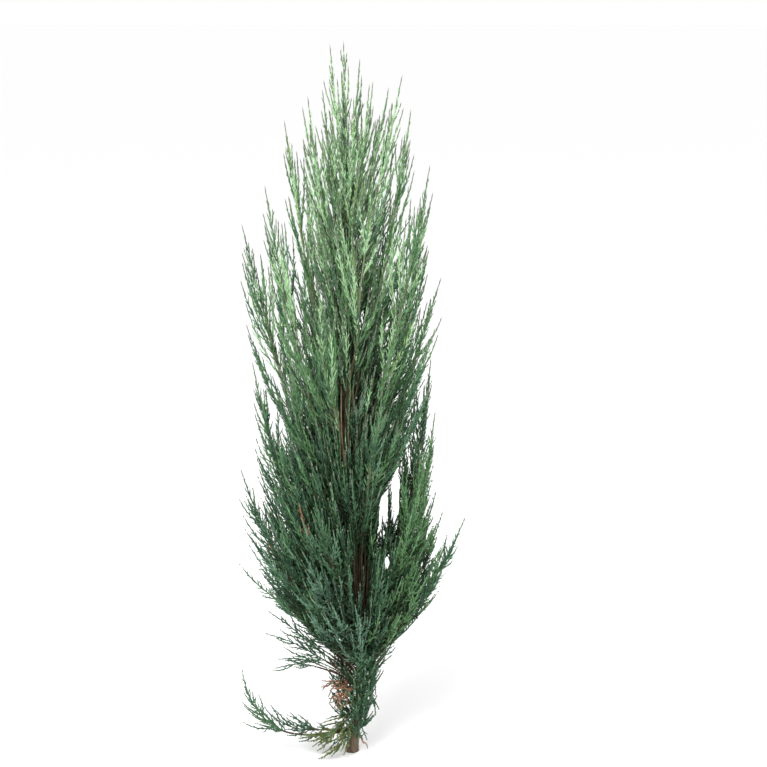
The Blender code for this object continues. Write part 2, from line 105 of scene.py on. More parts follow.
def add_node(tree: bpy.types.NodeTree, kind: str, inputs: dict[str, object],
             data_type: str | None = None) -> bpy.types.Node:
    """Adds a node to a material's nodes.

    Args:
        tree: The nodes.
        kind: The node's kind.
        inputs: A value or another node's output by the input's name.
        data_type: What the node works on, where that can be chosen.

    Returns:
        The new node.
    """
    node = tree.nodes.new("ShaderNode" + kind)
    if data_type is not None:
        node.data_type = data_type
    fill_inputs(tree, node, inputs)
    return node


@dataclass(frozen=True)
class Finish:
    """A procedural finish of two colours, mixed in patches, with a fine bump.

    Attributes:
        name: Name of the material.
        colour: Linear colour of most of the surface.
        other: Linear colour of the patches.
        patch: Patches per metre.
        stretch: How many times longer the patches are than wide.
        fine: Grain per metre, for the bump.
        bump: Height of the bump in metres.
        roughness: Roughness of the surface.
        higher: Linear colour that it turns towards higher up, or None.
        turning: Heights between which it turns.
        patch_detail: Detail of the patches' noise.
        patch_edge: Where that noise turns from the one colour to the other.
        turned: Greatest share of the higher colour.
        grain_detail: Detail of the grain's noise.
        bump_strength: Strength of the bump.
        shine: Specular level.
    """

    name: str
    colour: Triple
    other: Triple
    patch: float = 90.0
    stretch: float = 1.0
    fine: float = 900.0
    bump: float = 0.0002
    roughness: float = 0.62
    higher: Triple | None = None
    turning: Pair = (0.22, 0.60)
    patch_detail: float = 3.0
    patch_edge: Pair = (0.38, 0.66)
    turned: float = 0.8
    grain_detail: float = 2.0
    bump_strength: float = 0.6
    shine: float = 0.3

    def material(self) -> bpy.types.Material:
        """Makes the material: noise on Object coordinates mixes the colours and lifts the bump.

        Returns:
            The new material.
        """
        material = bpy.data.materials.new(self.name)
        material.use_nodes = True
        tree = material.node_tree
        place = add_node(tree, "TexCoord", {}).outputs["Object"]
        stretched = add_node(tree, "Mapping", {
            "Scale": (1.0, 1.0, 1.0 / self.stretch), "Vector": place}).outputs["Vector"]
        patches = add_node(tree, "TexNoise", {
            "Scale": self.patch, "Detail": self.patch_detail, "Vector": stretched})
        ramp = add_node(tree, "ValToRGB", {"Fac": patches.outputs["Fac"]})
        for end, edge, colour in zip(ramp.color_ramp.elements, self.patch_edge,
                                     (self.colour, self.other)):
            end.position = edge
            end.color = (*colour, 1.0)
        base = ramp.outputs["Color"]
        if self.higher is not None:
            height = add_node(tree, "SeparateXYZ", {"Vector": place}).outputs["Z"]
            turn = add_node(tree, "MapRange", {
                "From Min": self.turning[0], "From Max": self.turning[1], "To Max": self.turned,
                "Value": height}).outputs["Result"]
            base = add_node(tree, "Mix", {"B": (*self.higher, 1.0), "Factor": turn, "A": base},
                            "RGBA").outputs["Result"]
        grain = add_node(tree, "TexNoise", {
            "Scale": self.fine, "Detail": self.grain_detail, "Vector": stretched})
        relief = add_node(tree, "Bump", {
            "Distance": self.bump, "Strength": self.bump_strength,
            "Height": grain.outputs["Fac"]})
        fill_inputs(tree, tree.nodes["Principled BSDF"], {
            "Roughness": self.roughness, "Specular IOR Level": self.shine, "Base Color": base,
            "Normal": relief.outputs["Normal"]})
        return material


BARK = Finish("peeling_bark", (0.072, 0.050, 0.032), (0.150, 0.112, 0.076), patch=260.0,
              stretch=9.0, fine=1500.0, bump=0.0006, roughness=0.9)
BOUGH_BARK = Finish("young_bark", (0.095, 0.048, 0.026), (0.165, 0.090, 0.050), patch=240.0,
                    stretch=5.0, fine=1500.0, bump=0.0004, roughness=0.85,
                    higher=(0.120, 0.105, 0.060), turning=(0.30, 0.65))
TWIG_BARK = Finish("twig_bark", (0.055, 0.033, 0.019), (0.100, 0.060, 0.034), patch=200.0,
                   stretch=3.0, roughness=0.82, higher=(0.150, 0.195, 0.100))
PALE_BARK = Finish("pale_bark", (0.260, 0.190, 0.110), (0.360, 0.280, 0.170), patch=200.0,
                   stretch=4.0, roughness=0.8)
# Besides the foliage's own colours, the light green dealt high up is set lighter and the teal and
# blue-green dealt low down darker: painted light on the top and painted shade below.
FOLIAGE = {
    Tone.GLAUCOUS: Finish("glaucous_foliage", (0.096, 0.198, 0.122), (0.150, 0.265, 0.178)),
    Tone.TEAL: Finish("teal_foliage", (0.029, 0.076, 0.040), (0.057, 0.121, 0.070)),
    Tone.BLUE_GREEN: Finish("blue_green_foliage", (0.045, 0.124, 0.054), (0.082, 0.177, 0.091)),
    Tone.MID_GREEN: Finish("mid_green_foliage", (0.088, 0.196, 0.077), (0.138, 0.268, 0.120)),
    Tone.LIGHT_GREEN: Finish("light_green_foliage", (0.265, 0.440, 0.225), (0.375, 0.550, 0.330)),
    Tone.YELLOW_GREEN: Finish("yellow_green_foliage", (0.165, 0.272, 0.082), (0.235, 0.350, 0.128)),
    # Painted shade: dark green for foliage deep inside the crown.
    Tone.SHADED: Finish("shaded_foliage", (0.020, 0.044, 0.018), (0.038, 0.072, 0.031)),
    Tone.TIP: Finish("tip_foliage", (0.105, 0.145, 0.085), (0.155, 0.185, 0.130)),
    Tone.DEAD: Finish("dead_foliage", (0.215, 0.092, 0.046), (0.285, 0.150, 0.080)),
    Tone.OLIVE: Finish("olive_foliage", (0.092, 0.128, 0.040), (0.155, 0.195, 0.066)),
}


# ---------------------------------------------------------------- shapes from arrays


Shape = tuple[np.ndarray, np.ndarray, np.ndarray]  # corners, four-sided and three-sided faces


def between(ends: Pair, share: float) -> float:
    """The value at a share of the way from the first of two ends to the second."""
    return ends[0] + (ends[1] - ends[0]) * share


def path_length(path: np.ndarray) -> float:
    """Length of a line through points."""
    return np.linalg.norm(np.diff(path, axis=0), axis=1).sum()


def read_path(path: np.ndarray, marks: np.ndarray, wanted: np.ndarray) -> np.ndarray:
    """Points of a line through points, each of which has a mark, at the marks that are wanted."""
    return np.stack([np.interp(wanted, marks, path[:, axis]) for axis in range(3)], axis=1)


def unit(vectors: np.ndarray) -> np.ndarray:
    """Scales each vector of an array to length one.

    Args:
        vectors: Any array whose last axis is x, y, z.

    Returns:
        The unit vectors, in the same layout.
    """
    return vectors / np.maximum(np.linalg.norm(vectors, axis=-1, keepdims=True), LEAST_LENGTH)


def tube_arrays(points: np.ndarray, radii: np.ndarray, across: np.ndarray, sides: int,
                twist: float) -> Shape:
    """Corners and faces of closed tubes, each a ring of corners carried along its axis.

    Corner j of ring k stands at: axis point + radius * (cos a * across + sin a * up), with
    a = 2 pi j / sides + twist * k, where across and up are square to the axis. A flat face closes
    the root, and a fan to the axis's last point closes the tip.

    Args:
        points: Axis points, tubes by rings and one more by 3, the last being the tip.
        radii: Radius at each ring, tubes by rings, or tubes by rings by sides where it has relief.
        across: A direction for each tube that isn't along its axis.
        sides: Corners a ring has.
        twist: Turn of each ring against the last, in radians.

    Returns:
        Corners, four-sided faces and three-sided faces, the faces as corner numbers.
    """
    tubes, rings = points.shape[0], points.shape[1] - 1
    along = unit(np.gradient(points, axis=1))[:, :rings]
    over = unit(across[:, None, :] - along * np.sum(across[:, None, :] * along, -1, keepdims=True))
    up = np.cross(along, over)
    angles = 2 * math.pi * np.arange(sides)[None, :] / sides + twist * np.arange(rings)[:, None]
    if radii.ndim == 2:
        radii = radii[:, :, None]
    spokes = (np.cos(angles)[None, :, :, None] * over[:, :, None, :]
              + np.sin(angles)[None, :, :, None] * up[:, :, None, :])
    corners = points[:, :rings, None, :] + spokes * radii[..., None]
    corners = np.concatenate((corners.reshape(tubes, -1, 3), points[:, rings:]), axis=1)
    ring, side = np.meshgrid(np.arange(rings - 1), np.arange(sides), indexing="ij")
    ahead = (side + 1) % sides
    walls = np.stack((ring * sides + side, ring * sides + ahead, (ring + 1) * sides + ahead,
                      (ring + 1) * sides + side), axis=-1).reshape(-1, 4)
    last = (rings - 1) * sides
    edge = np.arange(sides)
    fan = np.stack((last + edge, last + (edge + 1) % sides, np.full(sides, rings * sides)), axis=-1)
    inner = np.arange(1, sides - 1)
    root = np.stack((np.zeros(sides - 2, int), inner + 1, inner), axis=-1)
    starts = np.arange(tubes)[:, None, None] * (rings * sides + 1)
    fours = (walls[None] + starts).reshape(-1, 4)
    threes = (np.concatenate((fan, root))[None] + starts).reshape(-1, 3)
    return corners.reshape(-1, 3), fours, threes


def joined(parts: list[Shape]) -> Shape:
    """Puts several sets of corners and faces into one, the faces renumbered.

    Args:
        parts: The sets.

    Returns:
        All of them in one.
    """
    first = np.cumsum([0] + [len(part[0]) for part in parts[:-1]])
    return (np.concatenate([part[0] for part in parts]),
            np.concatenate([part[1] + start for part, start in zip(parts, first)]),
            np.concatenate([part[2] + start for part, start in zip(parts, first)]))


def new_piece(name: str, arrays: Shape, material: bpy.types.Material,
              smooth: bool) -> bpy.types.Object:
    """Makes an object at the origin from corner and face arrays.

    Args:
        name: Name of the piece.
        arrays: Corners, four-sided faces and three-sided faces.
        material: Its material.
        smooth: Whether its faces are shaded as one surface.

    Returns:
        The new object.
    """
    corners, fours, threes = arrays
    mesh = bpy.data.meshes.new(name)
    mesh.vertices.add(len(corners))
    mesh.vertices.foreach_set("co", corners.astype(np.float32).ravel())
    loops = np.concatenate((fours.ravel(), threes.ravel())).astype(np.int32)
    mesh.loops.add(len(loops))
    mesh.loops.foreach_set("vertex_index", loops)
    sizes = np.concatenate((np.full(len(fours), 4), np.full(len(threes), 3)))
    mesh.polygons.add(len(sizes))
    mesh.polygons.foreach_set("loop_start", (np.cumsum(sizes) - sizes).astype(np.int32))
    mesh.polygons.foreach_set("use_smooth", np.full(len(sizes), smooth))
    mesh.update(calc_edges=True)
    mesh.materials.append(material)
    piece = bpy.data.objects.new(name, mesh)
    bpy.context.scene.collection.objects.link(piece)
    return piece


def place_piece(piece: bpy.types.Object, nodes: list[str]) -> None:
    """Hangs a piece of the tree on the body it rides on, and hides the nodes that it stands for.

    Args:
        piece: The piece.
        nodes: Names of the CAD nodes.
    """
    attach(piece, BODY)
    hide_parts(*nodes)
    corners = len(piece.data.vertices)
    log.info("%s: %d corners, stands for %d nodes", piece.name, corners, len(nodes))


# ---------------------------------------------------------------- limbs


@dataclass(frozen=True)
class Trunk:
    """The trunk: taper, root flare, a sway that fades upwards and a slight lean.

    Attributes are in metres: heights, radii, and the sway's width, wave and fade. The bark's waves
    are given as radians for each metre up and for each radian round the trunk.
    """

    top: float = 0.930
    tree_height: float = 1.015
    radius: float = 0.0078
    tip_radius: float = 0.0014
    taper: float = 0.85
    flare_radius: float = 0.0030
    flare_height: float = 0.016
    flat_foot: float = 0.003
    sway_right: float = 0.022
    sway_right_wave: float = 0.40
    sway_right_fade: float = 0.35
    sway_back: float = 0.004
    sway_back_wave: float = 0.33
    lean: float = -0.006
    rings: int = 420
    sides: int = 56
    ring_crowding: float = 1.15  # above 1, the rings are closer near the ground
    relief: float = 0.075  # share of the radius
    strips: int = 9
    wander: tuple[Triple, ...] = ((0.9, 41.0, 0.0), (0.5, 97.0, 2.0))
    finer_wander: float = 1.7  # how much more the narrow strips wander than the wide ones
    finer_climb: float = 23.0
    end_waves: tuple[Pair, ...] = ((260.0, 3.0), (173.0, -2.0))
    wave_shares: Triple = (0.55, 0.3, 0.25)  # wide strips, narrow ones, ends

    def centre(self, height: np.ndarray) -> np.ndarray:
        """Axis points: sine sways to the right, fading, and to the back, and a straight lean.

        Args:
            height: Heights above the ground.

        Returns:
            A point for each height.
        """
        height = np.asarray(height, float)
        rise = np.maximum(height - self.flat_foot, 0.0)
        fade = np.exp(-((rise / self.sway_right_fade) ** 2))
        right = self.sway_right * np.sin(math.pi * rise / self.sway_right_wave) * fade
        back = self.sway_back * np.sin(math.pi * rise / self.sway_back_wave)
        return np.stack((right + self.lean * rise / self.tree_height, back, height), axis=-1)

    def girth(self, height: np.ndarray) -> np.ndarray:
        """Radius: a power of the height left to the top, and a flare that dies away upwards.

        Args:
            height: Heights above the ground.

        Returns:
            A radius for each height.
        """
        height = np.asarray(height, float)
        taper = np.maximum(1.0 - height / self.top, 0.0) ** self.taper
        flare = self.flare_radius * np.exp(-height / self.flare_height)
        return self.tip_radius + (self.radius - self.tip_radius) * taper + flare

    def bark(self, turn: np.ndarray, height: np.ndarray) -> np.ndarray:
        """Relief of peeling strips: folded waves round the trunk that wander as they climb.

        Strips half as wide lie over the wide ones, and the product of two waves makes their ends.

        Args:
            turn: Angle round the trunk.
            height: Height above the ground.

        Returns:
            The relief, about -1 to 1.
        """
        wander = sum(far * np.sin(height * climb + around * turn)
                     for far, climb, around in self.wander)
        strips = 1.0 - 2.0 * np.abs(np.sin(self.strips * turn / 2 + wander))
        finer = 1.0 - 2.0 * np.abs(np.sin(self.strips * turn + self.finer_wander * wander
                                          + height * self.finer_climb))
        first, second = (np.sin(height * climb + around * turn)
                         for climb, around in self.end_waves)
        wide, narrow, ends = self.wave_shares
        return wide * strips + narrow * finer + ends * (first * second)

    def build(self) -> bpy.types.Object:
        """Carries a ring with the bark's relief up the trunk's axis.

        Returns:
            The trunk's skin.
        """
        height = self.top * np.linspace(0.0, 1.0, self.rings + 1) ** self.ring_crowding
        turn = 2 * math.pi * np.arange(self.sides) / self.sides
        relief = self.bark(turn[None, :], height[:-1, None]) * self.relief
        radii = self.girth(height[:-1])[:, None] * (1.0 - self.relief + relief)
        arrays = tube_arrays(self.centre(height)[None], radii[None], np.array([[1.0, 0.0, 0.0]]),
                             self.sides, 0.0)
        return new_piece("trunk_bark", arrays, BARK.material(), True)

    def dress(self, piece: bpy.types.Object) -> None:
        """Puts the skin in the trunk's place."""
        place_piece(piece, ["trunk"])


CURVE_SAMPLES = 200
WAVER = 0.0025
WAVER_TURNS = 1.6
LIMB_TIP_RADIUS = 0.0007
PATH_SAMPLES = 120


@dataclass(frozen=True)
class Limb:
    """A bough with its plume at the end, or a plume on the trunk where bare is 0.

    Attributes:
        name: Its name, as in the nodes.
        azimuth: Degrees round the tree.
        foot: Height on the trunk.
        reach: How far the tip is from the tree's axis.
        top: Height of the tip.
        radius: Radius at the foot.
        bare: Share of the limb that is bough.
        spread: Half width of the plume.
        bow: How far out the control point lies, as a share.
        lift: How far up it lies, as a share.
    """

    name: str
    azimuth: float
    foot: float
    reach: float
    top: float
    radius: float
    bare: float
    spread: float
    bow: float
    lift: float

    def path(self, trunk: Trunk, samples: int) -> np.ndarray:
        """Even points on a quadratic curve from the trunk's axis to the tip, with a waver.

        Args:
            trunk: The trunk it grows from.
            samples: How many points.

        Returns:
            The points, samples by 3.
        """
        azimuth = math.radians(self.azimuth)
        foot = trunk.centre(self.foot)
        tip = np.array((self.reach * math.cos(azimuth), self.reach * math.sin(azimuth), self.top))
        middle = foot + (tip - foot) * self.bow
        middle[2] = self.foot + self.lift * (self.top - self.foot)
        share = np.linspace(0.0, 1.0, CURVE_SAMPLES)[:, None]
        points = (1 - share) ** 2 * foot + 2 * share * (1 - share) * middle + share**2 * tip
        sideways = np.array((-math.sin(azimuth), math.cos(azimuth), 0.0))
        turns = 2 * math.pi * WAVER_TURNS * share + azimuth
        points = points + sideways * WAVER * np.sin(turns) * np.sin(math.pi * share)
        along = np.concatenate(([0.0], np.cumsum(np.linalg.norm(np.diff(points, axis=0), axis=1))))
        even = np.linspace(0.0, along[-1], samples)
        return read_path(points, along, even)

    def girth(self, share: np.ndarray) -> np.ndarray:
        """Radius at a share of the limb's length, an even taper."""
        return LIMB_TIP_RADIUS + (self.radius - LIMB_TIP_RADIUS) * (1.0 - np.asarray(share))


TRUNK = Trunk()

NAMED_LIMBS = (
    Limb("left_ground", LEFT + 9, 0.034, 0.158, 0.139, 0.0020, 0.40, 0.021, 0.90, -0.30),
    Limb("left_spray", LEFT - 10, 0.090, 0.114, 0.120, 0.0016, 0.42, 0.026, 0.42, 1.90),
    Limb("left_tuft", LEFT + 18, 0.100, 0.127, 0.200, 0.0022, 0.26, 0.029, 0.52, 0.72),
    Limb("left_low", LEFT - 17, 0.114, 0.156, 0.302, 0.0027, 0.22, 0.034, 0.60, 0.42),
    Limb("left_under", LEFT + 20, 0.130, 0.158, 0.446, 0.0030, 0.22, 0.037, 0.66, 0.36),
    Limb("left_main", LEFT + 2, 0.150, 0.134, 0.585, 0.0044, 0.26, 0.040, 0.64, 0.26),
    Limb("left_long", LEFT - 14, 0.235, 0.153, 0.770, 0.0034, 0.28, 0.037, 0.50, 0.32),
    Limb("left_upper", LEFT + 16, 0.370, 0.115, 0.830, 0.0027, 0.22, 0.033, 0.60, 0.34),
    Limb("left_high", LEFT - 8, 0.470, 0.087, 0.912, 0.0022, 0.18, 0.028, 0.58, 0.36),
    Limb("left_crest", LEFT + 24, 0.640, 0.058, 0.945, 0.0016, 0, 0.022, 0.60, 0.40),
    Limb("leader", LEFT, TRUNK.top, -TRUNK.lean, TRUNK.tree_height, 0.0014, 0, 0.016, 0.50, 0.50),
    Limb("right_tip", BACK - 40, 0.735, 0.050, 0.962, 0.0014, 0, 0.017, 0.60, 0.40),
    Limb("right_crest", RIGHT - 14, 0.660, 0.073, 0.972, 0.0017, 0, 0.020, 0.52, 0.40),
    Limb("right_high", RIGHT + 12, 0.520, 0.085, 0.926, 0.0021, 0.18, 0.026, 0.60, 0.36),
    Limb("right_upper", RIGHT - 20, 0.425, 0.114, 0.857, 0.0025, 0.20, 0.032, 0.60, 0.34),
    Limb("right_mid", RIGHT + 20, 0.345, 0.110, 0.780, 0.0026, 0.22, 0.032, 0.58, 0.34),
    Limb("right_long", RIGHT - 6, 0.300, 0.125, 0.704, 0.0028, 0.26, 0.029, 0.44, 0.46),
    Limb("right_main", RIGHT + 3, 0.138, 0.112, 0.588, 0.0040, 0.28, 0.029, 0.66, 0.28),
    Limb("right_under", RIGHT - 16, 0.122, 0.165, 0.373, 0.0026, 0.26, 0.030, 0.60, 0.40),
    Limb("right_twigs", RIGHT + 10, 0.100, 0.083, 0.200, 0.0016, 0.44, 0.024, 0.56, 0.50),
    Limb("foot_tuft", FRONT + 34, 0.030, 0.048, 0.130, 0.0016, 0, 0.024, 0.66, 0.40),
    Limb("front_feather", FRONT - 36, 0.118, 0.104, 0.312, 0.0021, 0.18, 0.024, 0.45, 0.45),
)


@dataclass(frozen=True)
class LimbRing:
    """The limbs that fill the crown's back and front by turns, from the lowest to the highest.

    Each pair of values runs from the lowest limb to the highest. The crown's outline is an ellipse.
    """

    count: int = 9
    top: Pair = (0.36, 0.93)
    foot: Pair = (0.155, 0.590)
    radius: Pair = (0.0030, 0.0020)
    spread: Pair = (0.038, 0.026)
    bare: float = 0.22
    bow: float = 0.60
    lift: float = 0.34
    fan: float = 20.0
    crown_radius: float = 0.134
    crown_middle: float = 0.45
    crown_half_height: float = 0.57

    def crown_reach(self, height: np.ndarray) -> np.ndarray:
        """How far the crown reaches at a height, on its ellipse."""
        share = (np.asarray(height, float) - self.crown_middle) / self.crown_half_height
        return self.crown_radius * np.sqrt(np.maximum(1.0 - share * share, 0.0))

    def limbs(self) -> list[Limb]:
        """The limbs, each a share of the way from the lowest to the highest.

        Returns:
            The limbs, the lowest first.
        """
        made = []
        for number in range(self.count):
            share = number / (self.count - 1)
            name, azimuth = ("front", FRONT) if number % 2 else ("back", BACK)
            fan = self.fan if number % 4 in (0, 3) else -self.fan
            top = between(self.top, share)
            made.append(Limb(f"{name}_{number + 1}", azimuth + fan, between(self.foot, share),
                             float(self.crown_reach(top)), top, between(self.radius, share),
                             self.bare, between(self.spread, share), self.bow, self.lift))
        return made


RING = LimbRing()


@dataclass(frozen=True)
class InnerLimbs:
    """Slender limbs that rise close to the trunk and fill the crown's inside.

    Each pair of values runs from the lowest to the highest. Their tips stay within the crown.
    """

    count: int = 72
    foot: Pair = (0.120, 0.790)
    crowding: float = 1.5  # above 1, more of them start low
    rise: Pair = (0.300, 0.140)
    radius: Pair = (0.0016, 0.0010)
    spread: Pair = (0.036, 0.020)
    reach: Pair = (0.25, 0.90)  # share of the reach where the crown is full
    bare: float = 0.05
    bow: float = 0.62
    lift: float = 0.34

    def limbs(self) -> list[Limb]:
        """The limbs, by turns of the golden angle up the trunk, their reach by turns near and far.

        Returns:
            The limbs, the lowest first.
        """
        made = []
        for number in range(self.count):
            share = (number / (self.count - 1)) ** self.crowding
            foot = between(self.foot, share)
            top = foot + self.rise[0] + (self.rise[1] - self.rise[0]) * share
            reach = between(self.reach, (number * GOLDEN_SHARE) % 1.0)
            made.append(Limb(f"inner_{number + 1}", math.degrees(GOLDEN_ANGLE) * number, foot,
                             float(shared_reach(top)) * reach, top, between(self.radius, share),
                             self.bare, between(self.spread, share), self.bow, self.lift))
        return made


SHARED_HEIGHTS = (0.00, 0.10, 0.15, 0.20, 0.25, 0.32, 0.45, 0.60, 0.70, 0.80, 0.88, 0.94, 1.02)
SHARED_REACH = (0.032, 0.040, 0.056, 0.092, 0.116, 0.124, 0.120, 0.112, 0.104, 0.088, 0.070, 0.052,
                0.022)


def shared_reach(height: np.ndarray) -> np.ndarray:
    """How far out the crown is full at a height; only named plumes reach further."""
    return np.interp(height, SHARED_HEIGHTS, SHARED_REACH)


SKIRT_HEIGHTS = (0.145, 0.150, 0.173, 0.204, 0.234, 0.265, 0.295, 0.325, 0.360)
SKIRT_RIGHT = (0.200, 0.054, 0.066, 0.087, 0.114, 0.132, 0.146, 0.158, 0.200)
SKIRT_LEFT = (0.200, 0.060, 0.064, 0.070, 0.102, 0.150, 0.162, 0.170, 0.200)


def skirt(points: np.ndarray) -> np.ndarray:
    """How far out leafy shoots may reach under the crown's flare, less on its right.

    The two limits at a height are mixed by the cosine of the way round, from right to left.

    Args:
        points: Points by 3.

    Returns:
        A limit for each point.
    """
    outward = np.maximum(np.hypot(points[:, 0], points[:, 1]), LEAST_RADIUS)
    side = 0.5 + 0.5 * points[:, 0] / outward
    right, left = (np.interp(points[:, 2], SKIRT_HEIGHTS, reach)
                   for reach in (SKIRT_RIGHT, SKIRT_LEFT))
    return left + (right - left) * side


SHORT_ROW = 4  # values that every row of a family has


def family(name: str, shared: tuple[float, ...], *rows: tuple[float, ...]) -> list[Limb]:
    """Limbs of one family, whose rows leave out the last values where they have the shared ones."""
    return [Limb(f"{name}_{number}", *row, *shared[len(row) - SHORT_ROW:])
            for number, row in enumerate(rows, 1)]


